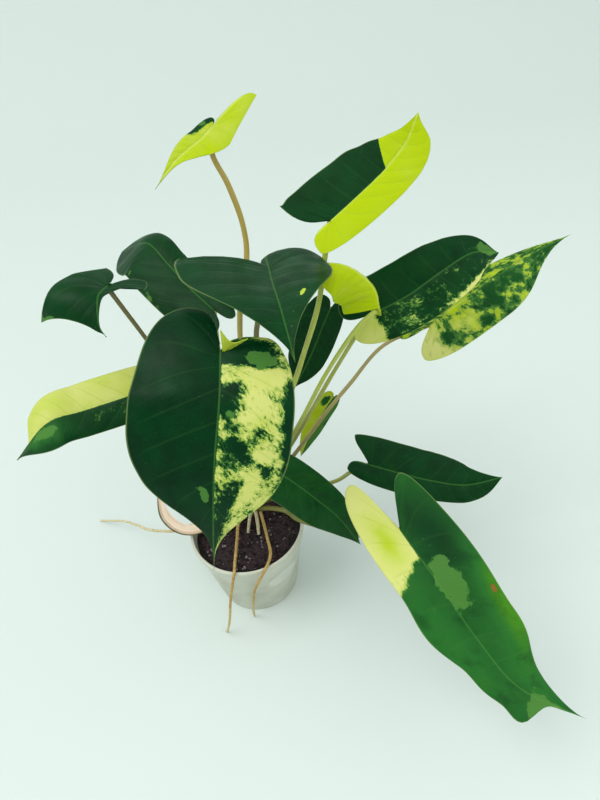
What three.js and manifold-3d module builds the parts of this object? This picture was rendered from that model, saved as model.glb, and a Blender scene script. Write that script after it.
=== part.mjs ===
// A variegated aroid in a nursery pot. Millimetres, +Z up.
// The origin is the middle of the pot's underside; +Y points away from the viewer and X to their right.
import * as THREE from 'three';
import Module from 'manifold-3d';
import { mergeVertices } from 'three/addons/utils/BufferGeometryUtils.js';

// Pot and soil
const POT_HEIGHT = 105;
const POT_BASE_RADIUS = 47;
const POT_WALL_TOP_RADIUS = 62;
const POT_LIP_HEIGHT = 7;
const POT_LIP_RADIUS = 64.2;
const POT_WALL = 1.8;
const POT_FLOOR = 2.5;
const POT_SIDES = 48;
const SOIL_EDGE_Z = 91.5;
const SOIL_MIDDLE_Z = 94;
const GAP = 0.3;

// Cane: the short upright stem that every leaf stalk and aerial root leaves from
const CANE_BASE = [7, 27, 62];
const CANE_TOP = [10, 23, 150];
const CANE_BASE_RADIUS = 9;
const CANE_TOP_RADIUS = 7;
const CANE_STUBS = [
  { path: [[7, 22, 108], [3, 6, 104], [0, -6, 96.4]], radius: 2.4 },
  { path: [[10, 21, 107], [12, 4, 103], [12, -10, 96.2]], radius: 2.6 },
];

// Leaf blades
const BLADE_THICKNESS = 0.9;
const FIRST_STATION = 0.12;
const ROWS = { inner: 3, outer: 4, body: 9 };
const COLUMNS = 3;
const SHORT_LOBE = 0.05;

// Each leaf: rib from the notch to the tip, the way its upper face looks, two halves, a stalk.
// A half: width from the rib; lobe, how far the basal lobe reaches behind the notch and notch, how wide
// the notch opens, as shares of the length and the width; corner, the width where the lobe ends; widest,
// the share of the length where it is widest; belly and point shape the sides between there and the tip;
// flare straightens the side of the lobe; cup and curl are degrees at the rib and across the half.
const VIEW = [0.05, -0.72, 0.69];
const LEAVES = {
  front: {
    rib: [[26, -70, 400], [22, -100, 381], [12, -120, 344], [2, -132, 297], [-11, -135, 227]],
    face: [[0, -0.9, 0.6]],
    right: { width: 66, lobe: 0.2, corner: 0.4, widest: 0.33, belly: 1.7, point: 3, cup: 14, curl: -35, ear: -40 },
    left: { width: 55, lobe: 0.06, corner: 0.6, widest: 0.33, belly: 1.9, point: 3, cup: 10, curl: -35, ear: -30 },
    stalk: { height: 130, turn: -100, path: [[4, -10, 220], [14, -40, 330]], radius: [2.9, 2.3] },
  },
  low_right: {
    rib: [[147, -120, 228], [170, -155, 202], [200, -190, 156], [229, -218, 123], [281, -240, 98]],
    face: [[0.1, -0.5, 0.9]],
    right: { width: 33, lobe: 0.22, corner: 0.65, notch: 0.25, widest: 0, belly: 2, point: 1.5, cup: 5, curl: -15 },
    left: { width: 45, lobe: 0.17, corner: 0.65, notch: 0.4, widest: 0.25, belly: 2, point: 2, cup: 5, curl: -15 },
    stalk: { height: 108, turn: -45, path: [[45, -14, 139], [61, -18, 123], [97, -28, 111], [127, -38, 108], [144, -85, 174]], radius: [2.7, 2.2] },
  },
  crown_right: {
    rib: [[120, 25, 442], [146, 40, 454], [169, 53, 466], [187, 63, 481], [198, 70, 500]],
    face: [VIEW],
    right: { width: 21.5, lobe: 0.22, corner: 0.55, notch: -0.1, widest: 0.4, belly: 2.2, point: 1.1, cup: 8, curl: -15 },
    left: { width: 37, lobe: 0.2, corner: 0.95, notch: 0.3, widest: 0, belly: 1.1, point: 1.2, cup: 8, curl: -15 },
    stalk: { tuck: 8, height: 146, turn: -12, path: [[72, 15, 284], [86, 18, 319], [104, 22, 368], [115, 26, 417]], radius: [2.8, 2.4] },
  },
  right_upper: {
    rib: [[153, 35, 342], [185, 36, 356], [215, 38, 375], [243, 44, 386], [270, 52, 378]],
    face: [VIEW],
    right: { width: 29, lobe: 0.15, widest: 0.2, belly: 2, point: 1, cup: 8, curl: -15 },
    left: { width: 30, lobe: 0.2, widest: 0, belly: 1.7, point: 1.3, cup: 8, curl: -15 },
    stalk: { tuck: 8, height: 121, turn: 10, path: [[78, 22, 228], [111, 26, 284], [143, 32, 335]], radius: [2.6, 2] },
  },
  right_marbled: {
    rib: [[223, 90, 281], [256, 96, 301], [291, 102, 321], [330, 110, 338], [369, 118, 349]],
    face: [VIEW],
    right: { width: 41, lobe: 0.14, corner: 0.9, notch: 0.3, widest: 0.2, belly: 1.6, point: 1.8, cup: 8, curl: -15 },
    left: { width: 19, lobe: 0.2, widest: 0.05, belly: 1.3, point: 1.5, cup: 8, curl: -15 },
    stalk: { height: 113, turn: 26, path: [[68, 35, 177], [104, 48, 216], [133, 66, 236], [174, 95, 258]], radius: [2.6, 2] },
  },
  centre: {
    rib: [[67, 0, 422], [69, -30, 426], [72, -62, 430], [75, -92, 428], [78, -112, 415]],
    face: [[0.1, 0, 1], [0, -0.1, 1], [0, -0.6, 1]],
    right: { width: 72, lobe: 0.1, corner: 0.95, widest: -0.02, belly: 1, point: 1.7, cup: 18, curl: -25 },
    left: { width: 48, lobe: 0.24, widest: 0.12, belly: 1.2, point: 1.4, cup: 20, curl: -40 },
    stalk: { height: 139, turn: -45, path: [[36, 15, 275], [46, 12, 342], [51, 5, 370]], radius: [2.8, 2.3] },
  },
  left_back: {
    rib: [[10, 50, 360], [-10, 75, 370], [-29, 100, 384], [-50, 130, 393], [-85, 165, 370]],
    face: [[-0.2, -0.6, 0.7], [-0.2, -0.5, 0.9], [-0.6, 0, 0.8]],
    right: { width: 20, lobe: 0.14, widest: 0.3, belly: 3, point: 1.2, cup: 8, curl: -60 },
    left: { width: 38, lobe: 0.12, corner: 0.4, widest: 0.6, belly: 4, point: 1.2, cup: 8, curl: -20 },
    stalk: { height: 137, turn: 105, path: [[2, 38, 220], [6, 44, 300]], radius: [2.7, 2.2] },
  },
  left_claw: {
    rib: [[-68, 30, 408], [-76, 10, 412], [-79, -2, 404], [-76, -10, 392], [-69, -13, 378]],
    face: [[0, -0.2, 1], [0.1, -0.75, 0.5], [0.1, -0.8, 0.45]],
    right: { width: 50, lobe: 0.35, corner: 0.2, notch: 0, flare: 1.1, widest: 0.5, belly: 0.8, point: 2.2, cup: [-20, -12, 5], curl: -15 },
    left: { width: 28, lobe: 0.5, corner: 0.8, notch: 0.3, widest: -0.2, belly: 0.5, point: 1, cup: [-10, -15, 0], curl: -15 },
    stalk: { drop: 0.5, height: 131, turn: 165, path: [[-29, 30, 273], [-49, 30, 344], [-62, 30, 386]], radius: [2.4, 1.9] },
  },
  left_cream: {
    rib: [[-47, 5, 316], [-83, 0, 311], [-117, -5, 307], [-148, -15, 306], [-187, -20, 271]],
    face: [VIEW, VIEW, [-0.9, -0.3, 0.3]],
    right: { width: 25, lobe: 0.2, widest: 0.3, belly: 2.2, point: 0.8, cup: 8, curl: -20 },
    left: { width: 24, lobe: 0.2, widest: 0.3, belly: 3, point: 1.5, cup: 8, curl: -20 },
    stalk: { tuck: 8, height: 122, turn: -155, path: [[-12, 16, 180], [-28, 10, 260]], radius: [2.5, 2] },
  },
  crown_left: {
    rib: [[41, 40, 518], [33, 30, 514], [24, 22, 511], [12, 15, 505], [-4, 5, 492]],
    face: [[0.3, -0.6, 0.8], [0.2, -0.7, 0.8], [0.1, -0.8, 0.6]],
    right: { width: 9, lobe: 0.1, widest: 0.3, belly: 1.5, point: 2, cup: 8, curl: -20 },
    left: { width: 18, lobe: 0.72, corner: 0.3, notch: -0.15, widest: 0.05, belly: 0.9, point: 1.8, cup: 8, curl: -20 },
    stalk: { height: 150.8, turn: 'top', path: [[33, 28, 349], [49, 32, 412], [51, 35, 443], [45, 40, 474], [37, 44, 497]], radius: [2.9, 2.2] },
  },
  hood: {
    rib: [[153, 0, 372], [150, 2, 388], [139, 5, 403], [123, 8, 413], [98, 12, 415]],
    face: [[-0.1, -0.9, 0.3], [-0.1, -0.8, 0.5], [0, -0.5, 0.8]],
    right: { width: 30, lobe: 0.2, corner: 0.75, notch: 0.2, widest: 0.1, belly: 1.6, point: 1.2, cup: -80, curl: -60 },
    left: { width: 31, lobe: 0.01, corner: 1, notch: 0.5, widest: 0.3, belly: 2.6, point: 0.8, cup: 0, curl: -25 },
    stalk: { height: 129, turn: -18, path: [[75, 10, 243], [104, 8, 301], [133, 4, 350]], end: [150.3, 0.9, 369], radius: [2.5, 2] },
  },
  back_shade: {
    rib: [[118, 75, 326], [109, 75, 306], [99, 75, 282], [86, 75, 255], [72, 75, 231]],
    face: [VIEW],
    right: { width: 25, lobe: 0.12, widest: 0.3, belly: 2, point: 1.5, cup: 8, curl: -20 },
    left: { width: 18, lobe: 0.12, widest: 0.3, belly: 2, point: 1.5, cup: 8, curl: -20 },
    stalk: { tuck: 8, height: 127, turn: 60, path: [[60, 95, 220], [105, 92, 300]], radius: [2.4, 2] },
  },
  low_lime: {
    rib: [[113, 68, 216], [104, 68, 202], [94, 68, 184], [82, 68, 160], [70, 68, 131]],
    face: [VIEW],
    right: { width: 13, lobe: 0.08, widest: 0.2, belly: 2.2, point: 1.1, cup: 8, curl: -20 },
    left: { width: 10, lobe: 0.08, widest: 0.2, belly: 2.2, point: 1.1, cup: 8, curl: -20 },
    stalk: { height: 117, turn: 52, path: [[58, 80, 146], [106, 78, 196]], radius: [2.2, 1.7] },
  },
  low_front: {
    rib: [[39, -30, 230], [59, -35, 210], [81, -40, 183], [102, -45, 153], [122, -50, 109]],
    face: [VIEW],
    right: { width: 26, lobe: 0.2, widest: 0.3, belly: 2, point: 1.5, cup: 8, curl: -20 },
    left: { width: 22, lobe: 0.2, widest: 0.3, belly: 2, point: 1.5, cup: 8, curl: -20 },
    stalk: { height: 116, turn: -70, path: [[20, 0, 160], [32, -14, 210]], radius: [2.5, 2] },
  },
  arrow: {
    rib: [[138, -20, 201], [169, -20, 182], [203, -20, 163], [240, -20, 149], [278, -20, 154]],
    face: [VIEW],
    right: { width: 20, lobe: 0.13, notch: -0.1, widest: 0.3, belly: 3, point: 1.2, cup: 8, curl: -20 },
    left: { width: 27, lobe: 0.12, corner: 1.2, notch: 0.6, widest: 0.3, belly: 1.8, point: 1.5, cup: 8, curl: -20 },
    stalk: { tuck: 8, height: 112.5, turn: -18, path: [[76, -4, 158], [104, -14, 176], [123, -18, 189]], radius: [2.4, 1.9] },
  },
};
const HALF = { corner: 0.4, notch: 0.08, flare: 0, ear: 0 };

// Dried sheath that hangs over the left of the rim: a narrow boat-shaped blade without a stalk
const SHEATH = {
  rib: [[0.7, 21.8, 107], [-34, 3, 109], [-66, -5, 110], [-90, 12, 115], [-100, 42, 124]],
  face: [[0.3, 0.1, 1]],
  right: { width: 9, lobe: 0.001, corner: 0.5, notch: 0.3, widest: 0.12, belly: 3, point: 0.7, cup: 25, curl: 10 },
  left: { width: 7, lobe: 0.001, corner: 0.5, notch: 0.3, widest: 0.12, belly: 3, point: 0.7, cup: 20, curl: 10 },
};

// Aerial roots, each from beside the cane to where it ends on the surface the pot stands on
const ROOTS = {
  root_front_left: {
    path: [[-0.5, 14.5, 106], [-9, 3, 105.5], [-11, -20, 106.5], [-13, -48, 108.5], [-14.5, -64.5, 107.6],
      [-18, -70.5, 98], [-24, -75, 75], [-31, -77, 40], [-38, -74, 12], [-41, -70, 1.6]],
    radius: [1.9, 1.3],
  },
  root_front_right: {
    path: [[16.5, 13, 107], [18, 5, 105], [22, -20, 105], [25, -45, 107.5], [19, -62.5, 108],
      [10, -70.5, 98], [2, -69, 76], [-4, -66, 42], [-7, -60, 16], [-8, -55, 1.6]],
    radius: [1.9, 1.3],
  },
  root_left: {
    path: [[-3.5, 22, 103], [-25, 12, 105], [-50, 8, 107], [-64, 6, 107.6], [-82, 5, 103],
      [-119, 30, 78], [-147, 60, 53], [-176, 90, 27], [-218, 116, 2]],
    radius: [1.9, 1.3],
  },
};

const COLOURS = {
  pot: ['#e3e7e2', 0.45],
  soil: ['#2b1a20', 0.95],
  cane: ['#7d8048', 0.6],
  green: ['#0f4a26', 0.4],
  lime: ['#b9cf3a', 0.4],
  stalk: ['#a2a24e', 0.45],
  root: ['#b9963f', 0.7],
  sheath: ['#c9a98a', 0.7],
};
const LIME_LEAVES = ['crown_left', 'crown_right', 'hood', 'right_marbled', 'left_cream', 'low_lime'];

const group = new THREE.Group();
const wasm = await Module();
wasm.setup();

const vec = (p) => new THREE.Vector3(...p);
const radians = THREE.MathUtils.degToRad;

function add(name, geometry, [colour, roughness]) {
  const material = new THREE.MeshStandardMaterial({ color: colour, roughness, metalness: 0 });
  const mesh = new THREE.Mesh(geometry, material);
  mesh.name = name;
  group.add(mesh);
}

// A closed surface from corner points and triangles, without repeated corners
function surface(points, triangles) {
  const geometry = new THREE.BufferGeometry();
  geometry.setAttribute('position', new THREE.Float32BufferAttribute(points.flatMap((p) => p.toArray()), 3));
  geometry.setIndex(triangles.flat());
  return geometry;
}

// Boolean solid of a closed geometry, and back
function toSolid(geometry) {
  const bare = geometry.clone();
  bare.deleteAttribute('normal');
  bare.deleteAttribute('uv');
  const merged = mergeVertices(bare, 1e-3);
  const index = merged.index.array;
  const kept = [];
  for (let i = 0; i < index.length; i += 3) {
    const [a, b, c] = index.slice(i, i + 3);
    if (a !== b && b !== c && c !== a) kept.push(a, b, c);
  }
  const vertProperties = new Float32Array(merged.attributes.position.array);
  return new wasm.Manifold(new wasm.Mesh({ numProp: 3, vertProperties, triVerts: new Uint32Array(kept) }));
}

function fromSolid(solid) {
  const mesh = solid.getMesh();
  const geometry = new THREE.BufferGeometry();
  geometry.setAttribute('position', new THREE.Float32BufferAttribute(mesh.vertProperties, 3));
  geometry.setIndex(Array.from(mesh.triVerts));
  return geometry;
}

// Closed round tube through the points, tapering from the first radius to the last
function tube(points, [first, last], sides, steps) {
  const curve = new THREE.CatmullRomCurve3(points.map(vec), false, 'catmullrom', 0.5);
  const frames = curve.computeFrenetFrames(steps, false);
  const corners = [];
  for (let i = 0; i <= steps; i++) {
    const radius = THREE.MathUtils.lerp(first, last, i / steps);
    for (let j = 0; j < sides; j++) {
      const turn = (2 * Math.PI * j) / sides;
      const corner = curve.getPointAt(i / steps);
      corner.addScaledVector(frames.normals[i], radius * Math.cos(turn));
      corners.push(corner.addScaledVector(frames.binormals[i], radius * Math.sin(turn)));
    }
  }
  return surface(corners, tubeTriangles(sides, steps));
}

function tubeTriangles(sides, steps) {
  const triangles = [];
  for (let i = 0; i < steps; i++) {
    for (let j = 0; j < sides; j++) {
      const a = i * sides + j;
      const b = i * sides + ((j + 1) % sides);
      triangles.push([a, b, b + sides], [a, b + sides, a + sides]);
    }
  }
  const end = steps * sides;
  for (let j = 1; j < sides - 1; j++) {
    triangles.push([0, j + 1, j], [end, end + j, end + j + 1]);
  }
  return triangles;
}

function cubic(points, t) {
  const u = 1 - t;
  const weights = [u * u * u, 3 * u * u * t, 3 * u * t * t, t * t * t];
  return [0, 1].map((axis) => points.reduce((sum, p, i) => sum + weights[i] * p[axis], 0));
}

// Margin of one half as rows: where its side vein leaves the rib, and where it meets the margin
function marginRows(half) {
  const { lobe, corner, notch, flare, widest, belly, point } = half;
  const rows = [];
  const end = [-lobe, corner];
  const inner = [[0, 0], [-0.45 * lobe, 0.6 * notch], [-lobe, notch], end];
  const first = lobe < SHORT_LOBE ? ROWS.inner : 1;
  for (let i = first; i <= ROWS.inner; i++) rows.push([0, ...cubic(inner, i / ROWS.inner)]);
  const round = [[-lobe, corner + 0.6 * (1 - corner)], [widest - 0.55 * (widest + lobe), 1]];
  const straight = [1, 2].map((k) => [end[0] + ((widest - end[0]) * k) / 3, end[1] + ((1 - end[1]) * k) / 3]);
  const mixed = [0, 1].map((k) => [0, 1].map((axis) => (1 - flare) * round[k][axis] + flare * straight[k][axis]));
  const outer = [end, ...mixed, [widest, 1]];
  for (let i = 1; i <= ROWS.outer; i++) {
    rows.push([FIRST_STATION * (i / ROWS.outer) ** 1.5, ...cubic(outer, i / ROWS.outer)]);
  }
  for (let i = 1; i <= ROWS.body; i++) {
    const s = 1 - (1 - (i / ROWS.body) ** 0.9) ** 1.15;
    const breadth = i === ROWS.body ? 0 : Math.cos((Math.PI / 2) * s ** belly) ** point;
    rows.push([FIRST_STATION + (1 - FIRST_STATION) * s, widest + (1 - widest) * s, breadth]);
  }
  return rows;
}

// A value given at the notch, the middle and the tip, in between
function along(values, x) {
  const [a, b, c] = Array.isArray(values) ? values : [values, values, values];
  return a * (1 - x) * (1 - 2 * x) + 4 * b * x * (1 - x) + c * x * (2 * x - 1);
}

// Rib point, direction, upper-face direction and sideways direction at a share of the length
function ribFrame(leaf, curve, x) {
  const at = curve.getPoint(x);
  const forward = curve.getPoint(Math.min(x + 1e-3, 1)).sub(curve.getPoint(Math.max(x - 1e-3, 0))).normalize();
  const [a, b, c] = leaf.face.length === 3 ? leaf.face : [leaf.face[0], leaf.face[0], leaf.face[0]];
  const up = vec([0, 1, 2].map((axis) => along([a[axis], b[axis], c[axis]], x))).normalize();
  up.addScaledVector(forward, -up.dot(forward)).normalize();
  return { at, forward, up, side: new THREE.Vector3().crossVectors(forward, up) };
}

const notZero = (value) => (Math.abs(value) < 1e-7 ? 1e-7 : value);

// A point of a half: x along the length (negative in the lobe), y across as a share of the width
function bladePoint(leaf, half, sign, curve, length, x, y) {
  const station = THREE.MathUtils.clamp(x, 0, 1);
  const { at, forward, up, side } = ribFrame(leaf, curve, station);
  const back = -Math.min(x, 0) * length;
  const bend = notZero(radians(half.ear) / notZero(half.lobe * length));
  at.addScaledVector(forward, -Math.sin(bend * back) / bend);
  at.addScaledVector(up, (1 - Math.cos(bend * back)) / bend);
  const raised = up.clone().multiplyScalar(Math.cos(bend * back)).addScaledVector(forward, Math.sin(bend * back));
  const start = radians(along(half.cup, station));
  const rate = notZero(radians(along(half.curl, station)) / half.width);
  const across = y * half.width;
  const end = start + rate * across;
  at.addScaledVector(side, (sign * (Math.sin(end) - Math.sin(start))) / rate);
  return at.addScaledVector(raised, (Math.cos(start) - Math.cos(end)) / rate);
}

// Both halves as one open sheet that shares the rib
function bladeSheet(leaf) {
  const curve = new THREE.CatmullRomCurve3(leaf.rib.map(vec), false, 'catmullrom', 0.5);
  const length = curve.getLength();
  const points = [];
  const keys = new Map();
  const triangles = [];
  const corner = (p) => {
    const key = p.toArray().map((value) => Math.round(value * 200)).join();
    if (!keys.has(key)) keys.set(key, points.push(p) - 1);
    return keys.get(key);
  };
  for (const [name, sign] of [['right', 1], ['left', -1]]) {
    const half = { ...HALF, ...leaf[name] };
    const grid = marginRows(half).map(([root, x, y]) => {
      const shares = Array.from({ length: COLUMNS + 1 }, (_, i) => i / COLUMNS);
      return shares.map((v) => corner(bladePoint(leaf, half, sign, curve, length, root + (x - root) * v, y * v)));
    });
    triangles.push(...gridTriangles(grid, sign));
  }
  return { points, triangles };
}

function gridTriangles(grid, sign) {
  const triangles = [];
  for (let i = 0; i + 1 < grid.length; i++) {
    for (let j = 0; j + 1 < grid[i].length; j++) {
      const [a, b, c, d] = [grid[i][j], grid[i][j + 1], grid[i + 1][j + 1], grid[i + 1][j]];
      for (const t of [[a, b, c], [a, c, d]]) {
        if (new Set(t).size === 3) triangles.push(sign > 0 ? t : [t[0], t[2], t[1]]);
      }
    }
  }
  return triangles;
}

// Sheet turned into a closed blade: both faces share one triangulation, and a rim joins them
function thicken({ points, triangles }, thickness) {
  const normals = points.map(() => new THREE.Vector3());
  const edges = new Set();
  for (const [a, b, c] of triangles) {
    const u = points[b].clone().sub(points[a]);
    const normal = u.cross(points[c].clone().sub(points[a]));
    for (const k of [a, b, c]) normals[k].add(normal);
    for (const edge of [[a, b], [b, c], [c, a]]) edges.add(edge.join());
  }
  normals.forEach((normal) => normal.normalize());
  const shifted = (way) => points.map((p, i) => p.clone().addScaledVector(normals[i], (way * thickness) / 2));
  const count = points.length;
  const faces = triangles.flatMap(([a, b, c]) => [[a, b, c], [a + count, c + count, b + count]]);
  for (const edge of edges) {
    const [a, b] = edge.split(',').map(Number);
    if (!edges.has([b, a].join())) faces.push([b, a, a + count], [b, a + count, b + count]);
  }
  return surface([...shifted(1), ...shifted(-1)], faces);
}

function caneAxis(z) {
  const share = (z - CANE_BASE[2]) / (CANE_TOP[2] - CANE_BASE[2]);
  return vec(CANE_BASE).lerp(vec(CANE_TOP), share);
}

function caneRadius(z) {
  const share = (z - CANE_BASE[2]) / (CANE_TOP[2] - CANE_BASE[2]);
  return THREE.MathUtils.lerp(CANE_BASE_RADIUS, CANE_TOP_RADIUS, share);
}

// Leaf stalk from beside the cane, up its path, to just short of the notch
function stalkPath(leaf) {
  const { height, turn, path, radius } = leaf.stalk;
  const base = caneAxis(height);
  if (turn !== 'top') {
    const way = vec([Math.cos(radians(turn)), Math.sin(radians(turn)), 0]);
    base.addScaledVector(way, caneRadius(height) + 1.3 * GAP);
    base.addScaledVector(way, radius[0] * vec(path[0]).sub(base).normalize().z);
  }
  const notch = vec(leaf.rib[0]);
  const curve = new THREE.CatmullRomCurve3(leaf.rib.map(vec), false, 'catmullrom', 0.5);
  const { up } = ribFrame(leaf, curve, 0);
  const last = vec(path.at(-1)).addScaledVector(up, -(leaf.stalk.tuck ?? 0));
  const slant = notch.clone().sub(last).normalize().dot(up);
  const clear = BLADE_THICKNESS / 2 + GAP + (leaf.stalk.drop ?? 0) + radius[1] * Math.sqrt(1 - slant * slant);
  const end = notch.clone().addScaledVector(up, -clear).toArray();
  return [base.toArray(), ...path.slice(0, -1), last.toArray(), leaf.stalk.end ?? end];
}

function buildPot() {
  const wallTop = POT_HEIGHT - POT_LIP_HEIGHT;
  const profile = [
    [0, 0], [POT_BASE_RADIUS - 1.5, 0], [POT_BASE_RADIUS, 1.5],
    [POT_WALL_TOP_RADIUS, wallTop], [POT_LIP_RADIUS - 0.4, wallTop + 0.8], [POT_LIP_RADIUS, POT_HEIGHT - 0.8],
    [POT_LIP_RADIUS - 0.8, POT_HEIGHT], [POT_LIP_RADIUS - 2.6, POT_HEIGHT], [POT_LIP_RADIUS - 3.2, POT_HEIGHT - 0.8],
    [insideRadius(wallTop - 2), wallTop - 2], [insideRadius(POT_FLOOR + 1), POT_FLOOR + 1],
    [insideRadius(POT_FLOOR + 1) - 1, POT_FLOOR], [0, POT_FLOOR],
  ];
  const geometry = new THREE.LatheGeometry(profile.map((p) => new THREE.Vector2(...p)), POT_SIDES);
  geometry.rotateX(Math.PI / 2);
  return fromSolid(toSolid(geometry));
}

// Inner radius of the pot wall at a height
function insideRadius(z) {
  const share = (z - 1.5) / (POT_HEIGHT - POT_LIP_HEIGHT - 1.5);
  return THREE.MathUtils.lerp(POT_BASE_RADIUS, POT_WALL_TOP_RADIUS, share) - POT_WALL;
}

function buildSoil() {
  const bottom = POT_FLOOR + GAP;
  const profile = [
    [0, bottom], [insideRadius(bottom) - 1.5 - GAP, bottom], [insideRadius(bottom + 1) - GAP, bottom + 1],
    [insideRadius(SOIL_EDGE_Z) - GAP, SOIL_EDGE_Z], [40, SOIL_EDGE_Z + 1.4], [18, SOIL_MIDDLE_Z - 0.3], [0, SOIL_MIDDLE_Z],
  ];
  const geometry = new THREE.LatheGeometry(profile.map((p) => new THREE.Vector2(...p)), POT_SIDES);
  geometry.rotateX(Math.PI / 2);
  const low = vec(CANE_BASE).add(new THREE.Vector3(0, 0, -GAP)).toArray();
  const radii = [CANE_BASE_RADIUS + 2 * GAP, CANE_TOP_RADIUS + 2 * GAP];
  const hole = toSolid(tube([low, CANE_TOP], radii, 16, 1));
  return fromSolid(toSolid(geometry).subtract(hole));
}

// Cane with its two short roots that reach for the soil grown on
function buildCane() {
  let solid = toSolid(tube([CANE_BASE, CANE_TOP], [CANE_BASE_RADIUS, CANE_TOP_RADIUS], 16, 4));
  for (const { path, radius } of CANE_STUBS) solid = solid.add(toSolid(tube(path, [radius, radius * 0.7], 6, 4)));
  return fromSolid(solid);
}

add('pot', buildPot(), COLOURS.pot);
add('soil', buildSoil(), COLOURS.soil);
add('cane', buildCane(), COLOURS.cane);
for (const [name, leaf] of Object.entries(LEAVES)) {
  const colour = LIME_LEAVES.includes(name) ? COLOURS.lime : COLOURS.green;
  add(`blade_${name}`, thicken(bladeSheet(leaf), BLADE_THICKNESS), colour);
  add(`stalk_${name}`, tube(stalkPath(leaf), leaf.stalk.radius, 6, 12), COLOURS.stalk);
}
add('sheath', thicken(bladeSheet(SHEATH), BLADE_THICKNESS), COLOURS.sheath);
for (const [name, root] of Object.entries(ROOTS)) add(name, tube(root.path, root.radius, 6, 18), COLOURS.root);

export default group;
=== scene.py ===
"""A potted variegated aroid, rebuilt in Blender over its CAD model.

Fifteen arrow-shaped leaves on long stalks leave one short cane in a white nursery pot.
Each blade is a sheet that is worked out from its midrib and its two halves:

    point(root, share) = rib(root) + side * across + up * cup

Here rib is a smooth curve through five points, and across and cup follow an arc whose
angle grows from the rib to the margin. Veins, waves and the two faces are added to that
sheet. The colour fields of the variegation are formulas in the same two coordinates.
Sizes are in millimetres, Z is up, and the origin is the middle of the pot's underside.
"""

# %% [markdown]
# The plant exists already as plain CAD solids, and this script loads them first. It could
# be modelled from nothing, but the solids fix the size and the place of every leaf, so each
# one is only swapped for a finer piece of the same form. All lengths below are in
# millimetres, and they become metres when a mesh is made.

import math

import bpy
import numpy as np
from mathutils import Matrix, Vector


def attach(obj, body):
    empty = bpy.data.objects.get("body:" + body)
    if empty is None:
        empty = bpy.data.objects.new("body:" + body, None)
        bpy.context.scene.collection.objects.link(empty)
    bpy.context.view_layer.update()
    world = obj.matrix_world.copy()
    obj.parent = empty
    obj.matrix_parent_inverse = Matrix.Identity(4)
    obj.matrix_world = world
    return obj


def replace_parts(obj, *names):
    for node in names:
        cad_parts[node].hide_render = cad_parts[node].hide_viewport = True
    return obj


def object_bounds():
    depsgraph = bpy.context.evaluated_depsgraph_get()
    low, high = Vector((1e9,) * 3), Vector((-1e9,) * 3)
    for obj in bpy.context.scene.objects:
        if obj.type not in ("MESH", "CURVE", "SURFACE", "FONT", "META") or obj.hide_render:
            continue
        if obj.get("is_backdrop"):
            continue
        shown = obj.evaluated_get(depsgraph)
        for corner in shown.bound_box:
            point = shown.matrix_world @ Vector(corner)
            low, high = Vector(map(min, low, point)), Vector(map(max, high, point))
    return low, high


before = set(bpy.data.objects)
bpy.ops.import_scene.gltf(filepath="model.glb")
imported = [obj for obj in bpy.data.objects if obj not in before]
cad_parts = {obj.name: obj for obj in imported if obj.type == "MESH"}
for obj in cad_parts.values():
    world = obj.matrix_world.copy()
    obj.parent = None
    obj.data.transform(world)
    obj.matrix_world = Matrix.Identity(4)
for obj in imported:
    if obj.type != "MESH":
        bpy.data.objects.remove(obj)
size_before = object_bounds()
MM = 0.001
print("bounds of the CAD model", size_before)

# %% [markdown]
# Hardly a line of a plant is straight. Stalks and midribs could be drawn by hand with
# Bezier handles, but a curve that passes through a few measured points is easier to fit and
# to change later. This cell has that curve, a plane cubic for outlines, a soft step, and
# slow waves that make a surface uneven in the same way on every run.

# %% Curves
WAVE_SIZES = (1, 1.9, 3.1)
WAVES_OF_A_SIZE = 3
LAST_PHASE = 6.28
WAVE_CALMING = 4


def smooth_curve(points, t):
    """Catmull-Rom curve at shares t (0..1): a cubic between each two neighbouring points.

    Its slope at a point is half the way from the point before to the point after. Before
    the first and after the last point, the neighbour is mirrored.
    """
    p = np.asarray(points, float)
    p = np.vstack([2 * p[0] - p[1], p, 2 * p[-1] - p[-2]])
    spans = len(points) - 1
    place = np.clip(np.asarray(t, float), 0, 1) * spans
    i = np.minimum(place.astype(int), spans - 1)
    u = (place - i)[:, None]
    a, b, c, d = p[i], p[i + 1], p[i + 2], p[i + 3]
    slope_b, slope_c = (c - a) / 2, (d - b) / 2
    return b + u * slope_b + u * u * (3 * (c - b) - 2 * slope_b - slope_c) + u ** 3 * (
        2 * (b - c) + slope_b + slope_c)


def unit(v):
    """Vectors divided by their length."""
    return v / np.maximum(np.linalg.norm(v, axis=-1, keepdims=True), 1e-12)


def bezier(points, t):
    """Plane cubic at shares t: the four points weighted by (1-t)^3, 3(1-t)^2 t, 3(1-t)t^2, t^3."""
    p, t = np.asarray(points, float), np.asarray(t, float)[:, None]
    u = 1 - t
    return u ** 3 * p[0] + 3 * u * u * t * p[1] + 3 * u * t * t * p[2] + t ** 3 * p[3]


def along(values, x):
    """Parabola through the values at notch, middle and tip, at shares x; one value stays level."""
    a, b, c = values if isinstance(values, (list, tuple)) else (values,) * 3
    return a * (1 - x) * (1 - 2 * x) + 4 * b * x * (1 - x) + c * x * (2 * x - 1)


def smoothstep(low, high, x):
    """0 below low, 1 above high, and 3t^2 - 2t^3 of the share t in between."""
    t = np.clip((x - low) / (high - low), 0, 1)
    return t * t * (3 - 2 * t)


def waves(a, b, seed):
    """About -1..1: a sum of sines of random direction, each divided by its fineness."""
    rng = np.random.default_rng(seed)
    total = 0
    for size in WAVE_SIZES:
        for _ in range(WAVES_OF_A_SIZE):
            fa, fb, phase = rng.normal(0, size), rng.normal(0, size), rng.uniform(0, LAST_PHASE)
            total = total + np.sin(fa * a + fb * b + phase) / size
    return total / WAVE_CALMING


print("waves at a few places", np.round(waves(np.arange(4.0), 0, 1), 2))

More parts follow.
